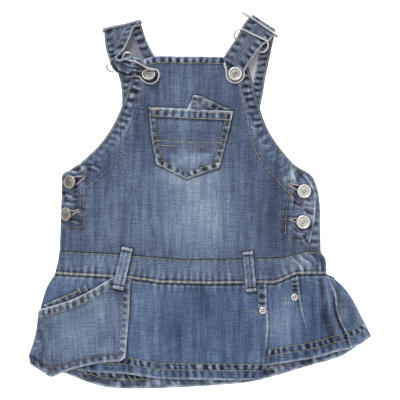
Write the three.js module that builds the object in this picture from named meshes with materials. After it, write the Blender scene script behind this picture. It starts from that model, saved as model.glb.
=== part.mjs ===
// A baby's denim pinafore dress, laid flat: back panels down, front panels on top of them.
// Millimetres. +X is to the right of someone looking down on it, +Y runs from hem to straps, +Z is up.
// Cloth pieces are walls of one thickness, made from a grid of points along their middle.

import * as THREE from 'three';
import { mergeVertices } from 'three/addons/utils/BufferGeometryUtils.js';

// ---------------------------------------------------------------- driving sizes

const CLOTH = 1.2;                         // wall of one panel
const GAP = 0.3;                           // between neighbours, beside or above each other
const LAYER = CLOTH + GAP;                 // rise from one layer to the next
const BACK_LEVEL = CLOTH / 2;              // middle of the back panels, which lie on the surface
const FRONT_LEVEL = BACK_LEVEL + LAYER;    // middle of the front panels
const PLEAT_LEVEL = FRONT_LEVEL + 2 * LAYER;
const WIRE_RADIUS = 0.9;
const BUTTON_RADIUS = 7.4;
const RIVET_RADIUS = 3.7;

// ---------------------------------------------------------------- materials

const cloth = (color) => new THREE.MeshStandardMaterial({ color, roughness: 0.9, metalness: 0 });
const denim = cloth(0x5c6f8e);
const denimFaded = cloth(0x6f86a5);
const denimDark = cloth(0x4a5b78);
const steel = new THREE.MeshStandardMaterial({ color: 0xb9bab8, roughness: 0.32, metalness: 1 });

// ---------------------------------------------------------------- shared outlines (x, y)

// The two waist seams, left to right. Panels stop half a gap short of them on both sides.
const UPPER_SEAM = [
  [-152.5, -54.5], [-85, -58], [-20, -63.7], [43, -63.3], [88, -61.5], [116, -54.8], [128, -54.8],
];
const LOWER_SEAM = [
  [-157.5, -80], [-110, -82.7], [-77, -84.7], [-44, -89.4], [8, -90.7], [80, -89.8], [104, -80.2],
  [135, -79.8],
];

const shifted = (points, dy) => points.map(([x, y]) => [x, y + dy]);
const cutAt = (points, x) => [...points.filter((point) => point[0] < x), [x, heightAt(points, x)]];

function heightAt(points, x) {
  const i = Math.max(1, points.findIndex((point) => point[0] >= x));
  const [a, b] = [points[i - 1], points[i]];
  return THREE.MathUtils.mapLinear(x, a[0], b[0], a[1], b[1]);
}

// ---------------------------------------------------------------- walls from grids of points

// grid[row][column] is the middle of the cloth. The wall is the grid moved out by half its thickness
// on both sides, closed round its four edges.
function wall(grid, thickness = CLOTH) {
  const rows = grid.length;
  const columns = grid[0].length;
  const positions = [];
  for (const side of [1, -1]) {
    for (let row = 0; row < rows; row += 1) {
      for (let column = 0; column < columns; column += 1) {
        const offset = normalAt(grid, row, column).multiplyScalar(side * thickness / 2);
        positions.push(...grid[row][column].clone().add(offset).toArray());
      }
    }
  }
  const index = [];
  const at = (side, row, column) => side * rows * columns + row * columns + column;
  const quad = (a, b, c, d) => index.push(a, b, c, a, c, d);
  for (let row = 0; row < rows - 1; row += 1) {
    for (let column = 0; column < columns - 1; column += 1) {
      quad(at(0, row, column), at(0, row + 1, column), at(0, row + 1, column + 1), at(0, row, column + 1));
      quad(at(1, row, column), at(1, row, column + 1), at(1, row + 1, column + 1), at(1, row + 1, column));
    }
  }
  for (let row = 0; row < rows - 1; row += 1) {
    quad(at(0, row, 0), at(1, row, 0), at(1, row + 1, 0), at(0, row + 1, 0));
    const last = columns - 1;
    quad(at(0, row, last), at(0, row + 1, last), at(1, row + 1, last), at(1, row, last));
  }
  for (let column = 0; column < columns - 1; column += 1) {
    quad(at(0, 0, column), at(0, 0, column + 1), at(1, 0, column + 1), at(1, 0, column));
    const last = rows - 1;
    quad(at(0, last, column), at(1, last, column), at(1, last, column + 1), at(0, last, column + 1));
  }
  const geometry = new THREE.BufferGeometry();
  geometry.setAttribute('position', new THREE.Float32BufferAttribute(positions, 3));
  geometry.setIndex(index);
  return geometry;
}

// Rows run down the cloth and columns to the right, so down x right points out of the right side.
function normalAt(grid, row, column) {
  const up = grid[Math.max(row - 1, 0)][column];
  const down = grid[Math.min(row + 1, grid.length - 1)][column];
  const left = grid[row][Math.max(column - 1, 0)];
  const right = grid[row][Math.min(column + 1, grid[0].length - 1)];
  const along = down.clone().sub(up);
  return along.cross(right.clone().sub(left)).normalize();
}

// A side of a panel is a chain of curves, made of these two.
const onPlan = ([x, y]) => new THREE.Vector3(x, y, 0);
const straight = (...points) => points.slice(1).map((end, i) => (
  new THREE.LineCurve3(onPlan(points[i]), onPlan(end))
));
const smooth = (...points) => [new THREE.CatmullRomCurve3(points.map(onPlan), false, 'centripetal')];

// Evenly spaced points along a side. The nearest of them moves onto each corner, so corners stay sharp
// and two panels that share a seam share all of it.
function side(curves, steps) {
  const chain = new THREE.CurvePath();
  curves.forEach((curve) => chain.add(curve));
  const spaced = chain.getSpacedPoints(steps);
  for (const corner of curves.slice(1).map((curve) => curve.getPoint(0))) {
    const distances = spaced.slice(1, -1).map((point) => point.distanceTo(corner));
    spaced[1 + distances.indexOf(Math.min(...distances))].copy(corner);
  }
  return spaced;
}

// A panel between four sides, each a chain of curves, filled in by a Coons patch.
// The top and bottom run left to right, the left and right sides run down. relief(x, y) is its height.
function panelGrid({ top, bottom, left, right, columns, rows, relief }) {
  const [t, b] = [side(top, columns), side(bottom, columns)];
  const [l, r] = [side(left, rows), side(right, rows)];
  const grid = [];
  for (let row = 0; row <= rows; row += 1) {
    const v = row / rows;
    grid.push([]);
    for (let column = 0; column <= columns; column += 1) {
      const u = column / columns;
      const blend = (key) => (1 - v) * t[column][key] + v * b[column][key] + (1 - u) * l[row][key]
        + u * r[row][key] - (1 - u) * (1 - v) * t[0][key] - u * (1 - v) * t[columns][key]
        - (1 - u) * v * b[0][key] - u * v * b[columns][key];
      const [x, y] = [blend('x'), blend('y')];
      grid[row].push(new THREE.Vector3(x, y, relief(x, y)));
    }
  }
  return grid;
}

// Lines that run down the cloth, such as pleat edges, joined from left to right. Each line is a curve
// through its points (x, y, z). steps says how many strips lead to the next line, rise how far they arch.
function pleatedGrid(lines, rows) {
  const curves = lines.map((line) => new THREE.CatmullRomCurve3(
    line.points.map((point) => new THREE.Vector3(...point)),
  ).getSpacedPoints(rows));
  const grid = [];
  for (let row = 0; row <= rows; row += 1) {
    grid.push([]);
    lines.forEach(({ steps = 1, rise = 0 }, line) => {
      const from = curves[line][row];
      const to = curves[Math.min(line + 1, lines.length - 1)][row];
      const count = line < lines.length - 1 ? steps : 1;
      for (let step = 0; step < count; step += 1) {
        const s = step / count;
        const point = from.clone().lerp(to, s);
        point.z += rise * 4 * s * (1 - s);
        grid[row].push(point);
      }
    });
  }
  return grid;
}

// A band of cloth given by its two edges, a row for each section, with `arch` lifting its middle.
function bandGrid(sections, columns = 3) {
  return sections.map(({ left, right, arch = 0 }) => {
    const row = [];
    for (let column = 0; column <= columns; column += 1) {
      const u = column / columns;
      const point = new THREE.Vector3(...left).lerp(new THREE.Vector3(...right), u);
      point.z += arch * 4 * u * (1 - u);
      row.push(point);
    }
    return row;
  });
}

// Soft ridges and troughs: each lies along a line and fades to nothing at its width.
function folds(level, list) {
  const line = new THREE.Line3();
  const foot = new THREE.Vector3();
  return (x, y) => {
    const point = new THREE.Vector3(x, y, 0);
    let z = level;
    for (const { from, to, width, height } of list) {
      line.start.set(...from, 0);
      line.end.set(...to, 0);
      line.closestPointToPoint(point, true, foot);
      const fade = Math.max(0, 1 - foot.distanceTo(point) / width);
      z += height * THREE.MathUtils.smootherstep(fade, 0, 1);
    }
    return z;
  };
}

function piece(name, geometry, material) {
  const mesh = new THREE.Mesh(geometry, material);
  mesh.name = name;
  mesh.updateMatrixWorld(true);
  return mesh;
}

// Height of the highest point of some pieces under (x, y), or `otherwise` where they don't reach.
function topOf(pieces, x, y, otherwise = CLOTH) {
  const ray = new THREE.Raycaster(new THREE.Vector3(x, y, 100), new THREE.Vector3(0, 0, -1));
  const hit = ray.intersectObjects(pieces)[0];
  return hit ? hit.point.z : otherwise;
}

// ---------------------------------------------------------------- back panels

function backBodice() {
  const grid = panelGrid({
    top: straight([-86, 92], [62, 92]),
    left: [
      ...smooth([-86, 92], [-112, 50], [-146, 22]),
      ...smooth([-146, 22], [-149.5, -8], [-152, -54.3]),
    ],
    right: [
      ...smooth([62, 92], [72, 71], [94, 43.5], [120.5, 24.5]),
      ...smooth([120.5, 24.5], [126.5, 8], [129, -54.6]),
    ],
    bottom: straight(...shifted([...cutAt(UPPER_SEAM, 116), [129, -54.8]], GAP / 2)),
    columns: 14,
    rows: 10,
    relief: () => BACK_LEVEL,
  });
  return piece('back_bodice', wall(grid), denimDark);
}

function backWaistband() {
  const grid = panelGrid({
    top: straight(...shifted([...cutAt(UPPER_SEAM, 116), [129, -54.8]], -GAP / 2)),
    bottom: straight(...shifted(LOWER_SEAM, GAP / 2)),
    left: smooth([-152.5, -54.6], [-153.5, -63], [-157.5, -79.8]),
    right: smooth([129, -55], [133.8, -64], [135, -79.6]),
    columns: 14,
    rows: 2,
    relief: () => BACK_LEVEL,
  });
  return piece('back_waistband', wall(grid), denimDark);
}

function backSkirt() {
  const grid = panelGrid({
    top: straight(...shifted([...LOWER_SEAM, [142, -83]], -GAP / 2)),
    left: smooth([-157.5, -80.2], [-165, -95], [-176, -150], [-168, -178]),
    right: smooth([142, -83.2], [160, -105], [181.5, -146.6]),
    bottom: smooth(
      [-168, -178], [-128, -194], [-100, -202], [20, -199.4], [58, -195], [124, -176.4], [152, -168],
      [181.5, -146.6],
    ),
    columns: 22,
    rows: 6,
    relief: () => BACK_LEVEL,
  });
  return piece('back_skirt', wall(grid), denimDark);
}

// ---------------------------------------------------------------- front panels

// The soft folds of the bodice: the puffed sides round the buttons and the drag lines below them.
const BODICE_FOLDS = [
  { from: [-138, 34], to: [-127, 10], width: 9, height: 1.6 },
  { from: [-147, 2], to: [-128, -6], width: 8, height: 1.4 },
  { from: [-136, -34], to: [-120, -50], width: 10, height: 0.8 },
  { from: [98, 33], to: [116, 12], width: 9, height: 1.5 },
  { from: [104, -7], to: [121, -10], width: 9, height: 1.7 },
  { from: [108, -38], to: [116, -46], width: 8, height: 1.6 },
  { from: [70, 12], to: [96, -30], width: 16, height: 1.0 },
  { from: [-58, 146], to: [-30, 152], width: 12, height: 0.6 },
];

function frontBodice() {
  const grid = panelGrid({
    top: smooth([-72.5, 145], [-54, 154], [-20, 154.8], [25, 154.2], [42, 153], [50.5, 145]),
    left: [
      ...smooth([-72.5, 145], [-85.5, 100], [-104, 66], [-127, 42.5], [-149.5, 27]),
      ...straight([-149.5, 27], [-152.3, -54.3]),
    ],
    right: [
      ...smooth([50.5, 145], [57.5, 119], [72, 76], [94, 45], [110, 30]),
      ...smooth([110, 30], [123.4, 9], [123.4, -14], [116, -54.6]),
    ],
    bottom: straight(...shifted(cutAt(UPPER_SEAM, 116), GAP / 2)),
    columns: 22,
    rows: 22,
    relief: folds(FRONT_LEVEL, BODICE_FOLDS),
  });
  return piece('front_bodice', wall(grid), denim);
}

function frontWaistband() {
  const grid = panelGrid({
    top: straight(...shifted([...cutAt(UPPER_SEAM, 116), [127, -55.6]], -GAP / 2)),
    bottom: straight(...shifted(LOWER_SEAM, GAP / 2)),
    left: smooth([-152.5, -54.6], [-153.5, -63], [-157.5, -79.8]),
    right: smooth([127, -55.8], [133.8, -63], [135, -79.6]),
    columns: 26,
    rows: 3,
    relief: folds(FRONT_LEVEL, [{ from: [90, -70], to: [132, -66], width: 9, height: 1.2 }]),
  });
  return piece('front_waistband', wall(grid), denimFaded);
}

// The lines of the skirt front, left to right, each from the waist seam down. A pleat is a line at the
// top level, a turn, a line under it at the next level, a turn, and a line at the lowest level: three
// layers of one cloth.
function skirtLines() {
  const waist = [...LOWER_SEAM, [143.4, -84.2]];
  const seam = (x) => heightAt(waist, x) - GAP / 2;
  const turn = LAYER / 2;
  const [middle, high] = [LAYER, PLEAT_LEVEL - FRONT_LEVEL];

  // A line starts on the seam at x, `rise` above the flat front, and goes through the points below it.
  const line = (x, rise, below, shape = {}) => ({
    points: [[x, seam(x), rise], ...below].map(([px, py, pz]) => [px, py, FRONT_LEVEL + pz]),
    ...shape,
  });
  // A line of the pleat, moved across by dx and, at the hem, up by dy.
  const pleat = (rise, dx, dy = 0, shape = {}) => line(69 + dx, rise, [
    [71.5 + dx, -136 + dy / 3, rise], [69.8 + dx, -158 + dy * 2 / 3, rise], [63 + dx, -194 + dy, rise],
  ], shape);

  return [
    line(-157.5, 0, [[-166.4, -95, 0], [-176.4, -140, 0], [-170, -179, 0]], { steps: 5 }),
    line(-110, 0, [[-113, -130, 0], [-115.6, -186, 0]], { steps: 3 }),
    line(-77, 0, [[-78, -130, 0], [-82, -187.5, 0]], { steps: 3, rise: 0.8 }),
    line(-44, 0, [[-44, -140, 0], [-44.3, -193, 0]], { steps: 3, rise: 0.6 }),
    line(-15, 0, [[-20, -140, 0.9], [-22, -193.6, 0.4]], { steps: 3 }),
    line(8, 0, [[9, -140, 0.2], [10, -194, 0]], { steps: 3, rise: 0.8 }),
    line(42, 0.6, [[40, -140, 1], [36, -194.4, 0.8]], { steps: 2 }),
    pleat(high, -12, 0, { steps: 2 }),
    pleat(high, 0),
    pleat(high - turn, turn),
    pleat(middle, 0, 1, { steps: 2 }),
    pleat(middle, -8, 9),
    pleat(middle - turn, -8 - turn, 11),
    pleat(0, -8, 13, { steps: 2 }),
    line(80, 0, [[86, -132, 0], [88, -176, 0]], { steps: 2 }),
    line(95, 0.9, [[97, -104, 0.9], [100, -132, 0.6], [104, -173.5, 0]]),
    line(104, 2.2, [[106, -103, 2.2], [112, -130, 1], [118, -171.2, 0]]),
    line(107.5, 0, [[109, -103, 0], [115, -130, 0], [121, -170.6, 0]], { steps: 2, rise: 0.9 }),
    line(122, 0.6, [[128, -120, 1.4], [132, -168, 0.8]], { steps: 2 }),
    line(131, 0, [[137, -130, 0], [144, -164.2, 0]], { steps: 2, rise: 0.8 }),
    line(136.5, 0.8, [[144.5, -104, 4], [151.5, -131, 4.6], [161, -160.2, 2.4]]),
    line(139, 0, [[148, -104, 0.4], [155.3, -131, 0.8], [164, -158.8, 0]], { steps: 2, rise: 1.4 }),
    line(141.5, 0, [[157, -110, 1.8], [174, -154, 1]], { steps: 2, rise: 0.4 }),
    line(143.4, 0, [[156, -97, 0], [170.8, -122, 0], [183.5, -147, 0]]),
  ];
}

function frontSkirt() {
  return piece('front_skirt', wall(pleatedGrid(skirtLines(), 12)), denim);
}

// ---------------------------------------------------------------- pockets and loops

// A piece that lies on others: its middle follows their highest point, moved out by `lift`.
const lyingOn = (under, lift) => (x, y) => topOf(under, x, y) + GAP + CLOTH / 2 + lift(x, y);
const flat = () => 0;

function hipPocketFacing(skirt) {
  const grid = panelGrid({
    top: straight([-170, -113.5], [-123, -92.5]),
    bottom: smooth([-164, -126], [-139, -117], [-114, -104]),
    left: straight([-170, -113.5], [-164, -126]),
    right: straight([-123, -92.5], [-114, -104]),
    columns: 8,
    rows: 3,
    relief: lyingOn([skirt], flat),
  });
  return piece('hip_pocket_facing', wall(grid), denimDark);
}

function hipPocketTab(facing) {
  const level = topOf([facing], -128, -98) + GAP + CLOTH / 2;
  const sections = [[-129, -93.6, 0], [-127.6, -96.4, 0.8], [-126.4, -99, 0]].map(([x, y, rise]) => (
    { left: [x - 4.4, y - 1.6, level + rise], right: [x + 4.4, y + 1.6, level + rise] }
  ));
  return piece('hip_pocket_tab', wall(bandGrid(sections, 1)), denimFaded);
}

function hipPocket(skirt, facing) {
  const overFacing = new THREE.Line3(new THREE.Vector3(-168, -118, 0), new THREE.Vector3(-120, -101, 0));
  const foot = new THREE.Vector3();
  const swell = (x, y) => {
    const point = new THREE.Vector3(x, y, 0);
    const distance = overFacing.closestPointToPoint(point, true, foot).distanceTo(point);
    return (LAYER + 0.3) * (1 - THREE.MathUtils.smoothstep(distance, 14, 26));
  };
  const grid = panelGrid({
    top: [
      ...smooth([-175, -118.5], [-135.5, -105.8], [-96, -84.2]),
      ...straight([-96, -84.2], [-75.6, -85.4]),
    ],
    left: [
      ...smooth([-175, -118.5], [-178, -143], [-185.4, -167.4]),
      ...straight([-185.4, -167.4], [-184.4, -176.6]),
    ],
    right: smooth([-75.6, -85.4], [-78.3, -130], [-81.6, -170]),
    bottom: [
      ...straight([-184.4, -176.6], [-163, -190.4]),
      ...smooth([-163, -190.4], [-119, -177.6], [-86.5, -173.5]),
      ...straight([-86.5, -173.5], [-81.6, -170]),
    ],
    columns: 12,
    rows: 12,
    relief: (x, y) => topOf([skirt], x, y, FRONT_LEVEL + CLOTH / 2) + GAP + CLOTH / 2 + swell(x, y),
  });
  return piece('hip_pocket', wall(grid), denimFaded);
}

function bibPocketInsert(bodice) {
  const grid = panelGrid({
    top: straight([-8, 113], [-2, 112.5], [33, 96.9]),
    bottom: straight([-20, 86], [27, 86]),
    left: straight([-8, 113], [-15, 97.5], [-20, 86]),
    right: straight([33, 96.9], [27, 86]),
    columns: 5,
    rows: 3,
    relief: lyingOn([bodice], flat),
  });
  return piece('bib_pocket_insert', wall(grid), denimDark);
}

function bibPocket(bodice) {
  const swell = (x, y) => (LAYER + 0.2) * THREE.MathUtils.smoothstep(y, 66, 80)
    * THREE.MathUtils.smoothstep(x, -42, -26);
  const grid = panelGrid({
    top: straight([-56.7, 100.4], [34.5, 95.6]),
    left: smooth([-56.7, 100.4], [-53.5, 68], [-47.5, 38.3]),
    right: smooth([34.5, 95.6], [28, 66], [19, 34]),
    bottom: straight([-47.5, 38.3], [-16.2, 22.7], [19, 34]),
    columns: 10,
    rows: 10,
    relief: lyingOn([bodice], swell),
  });
  return piece('bib_pocket', wall(grid), denimFaded);
}

// A belt loop lies on the cloth at its two ends and stands a little off it between them.
function beltLoop(name, under, head, foot, width) {
  const count = 7;
  const along = new THREE.Vector2(foot[0] - head[0], foot[1] - head[1]).normalize();
  const across = new THREE.Vector2(-along.y, along.x).multiplyScalar(width / 2);
  const sections = [];
  for (let i = 0; i < count; i += 1) {
    const s = i / (count - 1);
    const x = THREE.MathUtils.lerp(head[0], foot[0], s);
    const y = THREE.MathUtils.lerp(head[1], foot[1], s);
    const edge = (side) => topOf(under, x + side * across.x, y + side * across.y);
    const z = Math.max(edge(1), edge(0), edge(-1)) + GAP + CLOTH / 2 + 0.2 + 1.6 * Math.sin(Math.PI * s);
    sections.push({ left: [x - across.x, y - across.y, z], right: [x + across.x, y + across.y, z] });
  }
  return piece(name, wall(bandGrid(sections, 2)), denimFaded);
}

// ---------------------------------------------------------------- straps

// Each strap runs up the back, round its slide and down the front. A row holds its two edges (x, y, z).
const STRAP_RIGHT = [
  { left: [8, 92.3, 0.6], right: [62, 92.3, 0.6] },
  { left: [14, 112, 0.6], right: [66, 112, 0.6] },
  { left: [20, 130, 0.6], right: [69, 130, 0.6] },
  { left: [27, 147, 0.6], right: [72.5, 147, 0.6] },
  { left: [37, 163, 0.7], right: [75.5, 161, 0.7] },
  { left: [46, 180, 1.0], right: [78, 173, 1.0] },
  { left: [51.5, 194, 1.8], right: [79.3, 179, 1.8] },
  { left: [54.4, 198, 3.2], right: [80.4, 181.6, 3.2] },
  { left: [55, 199.4, 5], right: [81, 182.8, 5] },
  { left: [54.4, 198, 6.8], right: [80.4, 181.6, 6.8] },
  { left: [50, 194.4, 8], right: [78.6, 178.2, 8] },
  { left: [45, 187.6, 8.2], right: [74, 172.4, 8.2] },
  { left: [41.4, 180.8, 8], right: [67.6, 167.8, 8] },
  { left: [36, 171.5, 7.4], right: [60.4, 159.8, 7.4] },
  { left: [30, 162.5, 6.8], right: [53, 149.4, 6.8] },
  { left: [23.8, 153, 6], right: [46, 137.6, 6] },
];

const STRAP_LEFT = [
  { left: [-85.8, 92.3, 0.6], right: [-30, 92.3, 0.6] },
  { left: [-85, 108, 0.6], right: [-34, 110, 0.6] },
  { left: [-86, 122, 0.6], right: [-38, 130, 0.6] },
  { left: [-89, 136, 0.6], right: [-44, 147, 0.6] },
  { left: [-93, 150, 0.7], right: [-53, 160, 0.7] },
  { left: [-97.5, 164, 0.9], right: [-59, 172, 0.9] },
  { left: [-102, 176, 1.4], right: [-63, 184, 1.4] },
  { left: [-104.4, 182.6, 2.6], right: [-65.4, 191.4, 2.6] },
  { left: [-105, 184.8, 4.8], right: [-66, 193.8, 4.8] },
  { left: [-104.6, 182.8, 7], right: [-66.6, 191.6, 7] },
  { left: [-104, 178, 8.2], right: [-72, 186.4, 8.2] },
  { left: [-103.2, 169, 8.4], right: [-77.5, 173, 8.4] },
  { left: [-101.5, 160, 8.2], right: [-83.5, 161.5, 8.4] },
  { left: [-98.6, 151, 7.6], right: [-90.4, 152.4, 8.4] },
  { left: [-95.6, 143, 6.8], right: [-88.6, 150.6, 8.2], arch: 0.4 },
  { left: [-88, 135.6, 6], right: [-80, 153.6, 6.8], arch: 0.9 },
  { left: [-78, 132.4, 5.8], right: [-71, 154, 6.4], arch: 1.1 },
  { left: [-69, 135, 5.8], right: [-63.6, 150.6, 6], arch: 1.0 },
  { left: [-64, 137.2, 5.8], right: [-60.4, 147, 5.8], arch: 0.4 },
];

const strap = (name, sections) => piece(name, wall(bandGrid(sections)), denimDark);

// ---------------------------------------------------------------- wire

// Round wire along a smooth path. Wire frames stay open by a hair where their two ends meet.
function wire(name, points, steps) {
  const sides = 7;
  const section = new THREE.Shape(Array.from({ length: sides }, (_, i) => {
    const angle = (i / sides) * 2 * Math.PI;
    return new THREE.Vector2(WIRE_RADIUS * Math.cos(angle), WIRE_RADIUS * Math.sin(angle));
  }));
  const places = points.map((point) => new THREE.Vector3(...point));
  const path = new THREE.CatmullRomCurve3(places, false, 'centripetal');
  const geometry = new THREE.ExtrudeGeometry(section, { steps, extrudePath: path, bevelEnabled: false });
  return piece(name, weld(geometry), steel);
}

function weld(geometry) {
  geometry.deleteAttribute('normal');
  geometry.deleteAttribute('uv');
  return mergeVertices(geometry, 1e-4);
}

// A slide stands almost on edge across the strap: one bar inside the fold, and one over the front layer,
// further up the strap by `lean`.
function slide(name, from, to, inner, outer, lean) {
  const start = new THREE.Vector2(...from);
  const end = new THREE.Vector2(...to);
  const slope = end.clone().sub(start).normalize();
  const along = (s, z) => {
    const point = start.clone().lerp(end, s);
    const shift = lean * (outer - z) / (outer - inner);
    return [point.x + slope.y * shift, point.y - slope.x * shift, z];
  };
  const middle = (inner + outer) / 2;
  return wire(name, [
    along(0.5, outer), along(0.75, outer), along(0.95, outer), along(1, middle), along(0.95, inner),
    along(0.75, inner), along(0.25, inner), along(0.05, inner), along(0, middle), along(0.05, outer),
    along(0.25, outer), along(0.47, outer),
  ], 44);
}

function keeperRight() {
  return wire('keeper_right', [
    [58, 163, 4], [66.5, 159.3, 4.6], [70.6, 162, 6.4], [72.2, 167.2, 8.6], [71, 170.8, 10.2],
    [67.4, 173, 10.6], [56, 178.4, 10.4], [43.5, 183.8, 10], [38, 182.4, 8.2], [35.6, 176.6, 5.4],
    [38.6, 172.4, 4], [48, 167.6, 3.8], [56.4, 163.7, 3.9],
  ], 44);
}

function keeperLeft() {
  return wire('keeper_left', [
    [-94.6, 137.6, 3.9], [-100.6, 140.2, 4], [-101.8, 144.2, 4.2], [-96.5, 147, 4.2], [-90, 148.6, 4],
    [-85.4, 152, 4.2], [-83.4, 156, 6], [-81.6, 158.8, 8.2], [-77, 158.6, 9], [-74.4, 156.2, 9.2],
    [-75.2, 153.4, 9],
  ], 44);
}

// A clasp's ring goes round the neck of its button, and its arms lead up to the strap's end.
function claspRight() {
  const [x, y, z] = [36.7, 136.1, 4.1];
  const radius = 9.4;
  const ring = [];
  for (let degrees = 165; degrees <= 375; degrees += 30) {
    const angle = THREE.MathUtils.degToRad(degrees);
    ring.push([x + radius * Math.cos(angle), y + radius * Math.sin(angle), z]);
  }
  return wire('clasp_right', [[25.2, 147.6, 3.9], ...ring, [44.6, 143, 3.9]], 40);
}

function claspLeft() {
  return wire('clasp_left', [
    [-77.6, 150.4, 9.6], [-71.6, 149.2, 9.4], [-64.4, 146, 9.2], [-59, 142.6, 8.8], [-53, 141, 8.8],
    [-46.8, 139.6, 7.8], [-45.4, 134.4, 5.8], [-48, 128.4, 4.5], [-55, 125.6, 4.4], [-62.5, 128.6, 4.3],
    [-66.4, 133, 4], [-74, 134, 3.9],
  ], 48);
}

// ---------------------------------------------------------------- buttons and rivets

// A shank button: a neck of some length on the cloth, and a rimmed cap with a low boss in its hollow.
function shankButton(name, x, y, base, neck, tilt = [0, 0]) {
  const r = BUTTON_RADIUS;
  const profile = [
    [0, 0], [2.4, 0], [2.4, neck - 0.3], [r - 1.2, neck], [r, neck + 0.8], [r, neck + 1.6],
    [r - 0.6, neck + 2.3], [r - 1.5, neck + 2.3], [r - 2.1, neck + 1.8], [2.9, neck + 1.8],
    [2.2, neck + 2.2], [0, neck + 2.2],
  ].map((point) => new THREE.Vector2(...point));
  const geometry = weld(new THREE.LatheGeometry(profile, 18));
  geometry.rotateX(Math.PI / 2);
  const mesh = piece(name, geometry, steel);
  mesh.position.set(x, y, base);
  mesh.rotation.set(tilt[0], tilt[1], 0);
  mesh.updateMatrixWorld(true);
  return mesh;
}

function rivet(name, x, y, base) {
  const r = RIVET_RADIUS;
  const profile = [[0, 0], [r, 0], [r, 0.5], [r - 0.5, 1], [1.9, 1], [1.5, 0.6], [1.1, 1.3], [0, 1.3]]
    .map((point) => new THREE.Vector2(...point));
  const geometry = weld(new THREE.LatheGeometry(profile, 16));
  geometry.rotateX(Math.PI / 2);
  const mesh = piece(name, geometry, steel);
  mesh.position.set(x, y, base);
  mesh.updateMatrixWorld(true);
  return mesh;
}

// ---------------------------------------------------------------- the dress

function pinafore() {
  const dress = new THREE.Group();
  const bodice = frontBodice();
  const band = frontWaistband();
  const skirt = frontSkirt();
  const facing = hipPocketFacing(skirt);
  const pocket = hipPocket(skirt, facing);
  dress.add(backBodice(), backWaistband(), backSkirt(), bodice, band, skirt);
  dress.add(facing, hipPocketTab(facing), pocket, bibPocketInsert(bodice), bibPocket(bodice));
  dress.add(
    beltLoop('belt_loop_left', [bodice, band, skirt, pocket], [-79.4, -51.6], [-89.6, -96], 11.4),
    beltLoop('belt_loop_right', [bodice, band, skirt], [50.2, -55.8], [54.2, -98.6], 10.8),
    strap('strap_left', STRAP_LEFT),
    strap('strap_right', STRAP_RIGHT),
  );

  const onBodice = (x, y, lift = 0) => [x, y, topOf([bodice], x, y) + GAP + lift];
  dress.add(
    shankButton('bib_button_left', ...onBodice(-56.5, 132.4, 1.2), 3.8, [-0.62, 0]),
    shankButton('bib_button_right', ...onBodice(36.7, 136.1), 4.2),
    shankButton('side_button_left_upper', ...onBodice(-138.8, 19.4, 1.1), 4.2, [0, -0.55]),
    shankButton('side_button_left_lower', ...onBodice(-141.4, -15.2, 1.4), 5, [0, -0.72]),
    shankButton('side_button_right_upper', ...onBodice(111.2, 9.4), 2.8),
    shankButton('side_button_right_lower', ...onBodice(110.2, -23.8), 2.8),
  );

  const onSkirt = (x, y) => [x, y, topOf([skirt], x, y) + GAP + 0.3];
  dress.add(
    rivet('pleat_rivet_inner', ...onSkirt(66.4, -119.3)),
    rivet('pleat_rivet_outer', ...onSkirt(100.8, -104.9)),
    slide('slide_left', [-106.4, 184.4], [-65.2, 194], 4.8, 10.6, 4.6),
    slide('slide_right', [45.4, 202.4], [82.6, 176.8], 5, 10.6, 1),
    keeperLeft(),
    keeperRight(),
    claspLeft(),
    claspRight(),
  );
  return dress;
}

export default pinafore();
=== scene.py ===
# %% [markdown]
# # A baby's denim pinafore dress, laid flat
# The dress is a stack of thin cloth pieces with a little bent wire and a few stamped buttons on top.
# The pieces already have their places in the frame, so nothing is fitted here. Each one is made again as
# a fine mesh on the frame's own form, and gets what a sewing machine and many washes gave the real one:
# turned hems, stitch rows that pull the cloth in, roped seams, worn edges and uneven indigo.

# %% The frame
import math

import bmesh
import bpy
import numpy as np
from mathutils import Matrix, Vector
from mathutils.bvhtree import BVHTree


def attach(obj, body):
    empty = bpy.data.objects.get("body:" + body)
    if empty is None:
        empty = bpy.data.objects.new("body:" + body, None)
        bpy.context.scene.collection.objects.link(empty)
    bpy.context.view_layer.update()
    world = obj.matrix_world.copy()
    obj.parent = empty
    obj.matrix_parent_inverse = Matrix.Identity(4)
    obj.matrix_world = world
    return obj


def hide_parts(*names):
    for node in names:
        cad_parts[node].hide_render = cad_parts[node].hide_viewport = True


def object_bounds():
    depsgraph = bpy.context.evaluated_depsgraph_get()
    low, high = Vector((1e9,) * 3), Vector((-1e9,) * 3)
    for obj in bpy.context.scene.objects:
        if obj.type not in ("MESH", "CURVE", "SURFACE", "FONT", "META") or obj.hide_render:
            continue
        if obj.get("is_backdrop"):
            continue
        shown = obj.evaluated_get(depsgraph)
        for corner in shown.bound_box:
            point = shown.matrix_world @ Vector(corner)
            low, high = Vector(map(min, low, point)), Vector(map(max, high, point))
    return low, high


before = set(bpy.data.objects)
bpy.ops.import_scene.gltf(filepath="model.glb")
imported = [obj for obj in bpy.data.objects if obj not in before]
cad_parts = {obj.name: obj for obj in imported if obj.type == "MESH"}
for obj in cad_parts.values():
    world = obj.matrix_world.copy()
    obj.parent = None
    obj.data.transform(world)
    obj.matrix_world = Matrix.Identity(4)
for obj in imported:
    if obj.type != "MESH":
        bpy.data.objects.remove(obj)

CAD_BOX = [list(corner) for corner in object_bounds()]
MM = 0.001                       # the frame is in metres, and this script thinks in millimetres
print("frame:", len(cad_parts), "nodes, box", [[round(c / MM, 1) for c in p] for p in CAD_BOX])

# %% [markdown]
# ## Camera, floor and light
# Clothes for sale are shown lying on a white table under broad, soft light, with the camera straight
# above. A long lens from three metres keeps the hem as square to the eye as the straps. The table is
# lit from within, so that shadows on it wash out to white but the cloth keeps its own. A large lamp
# beyond the straps gives the creases a side to shade, and a bright room fills the rest. Smaller lamps
# would draw hard shadows that flat cloth doesn't show.

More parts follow.
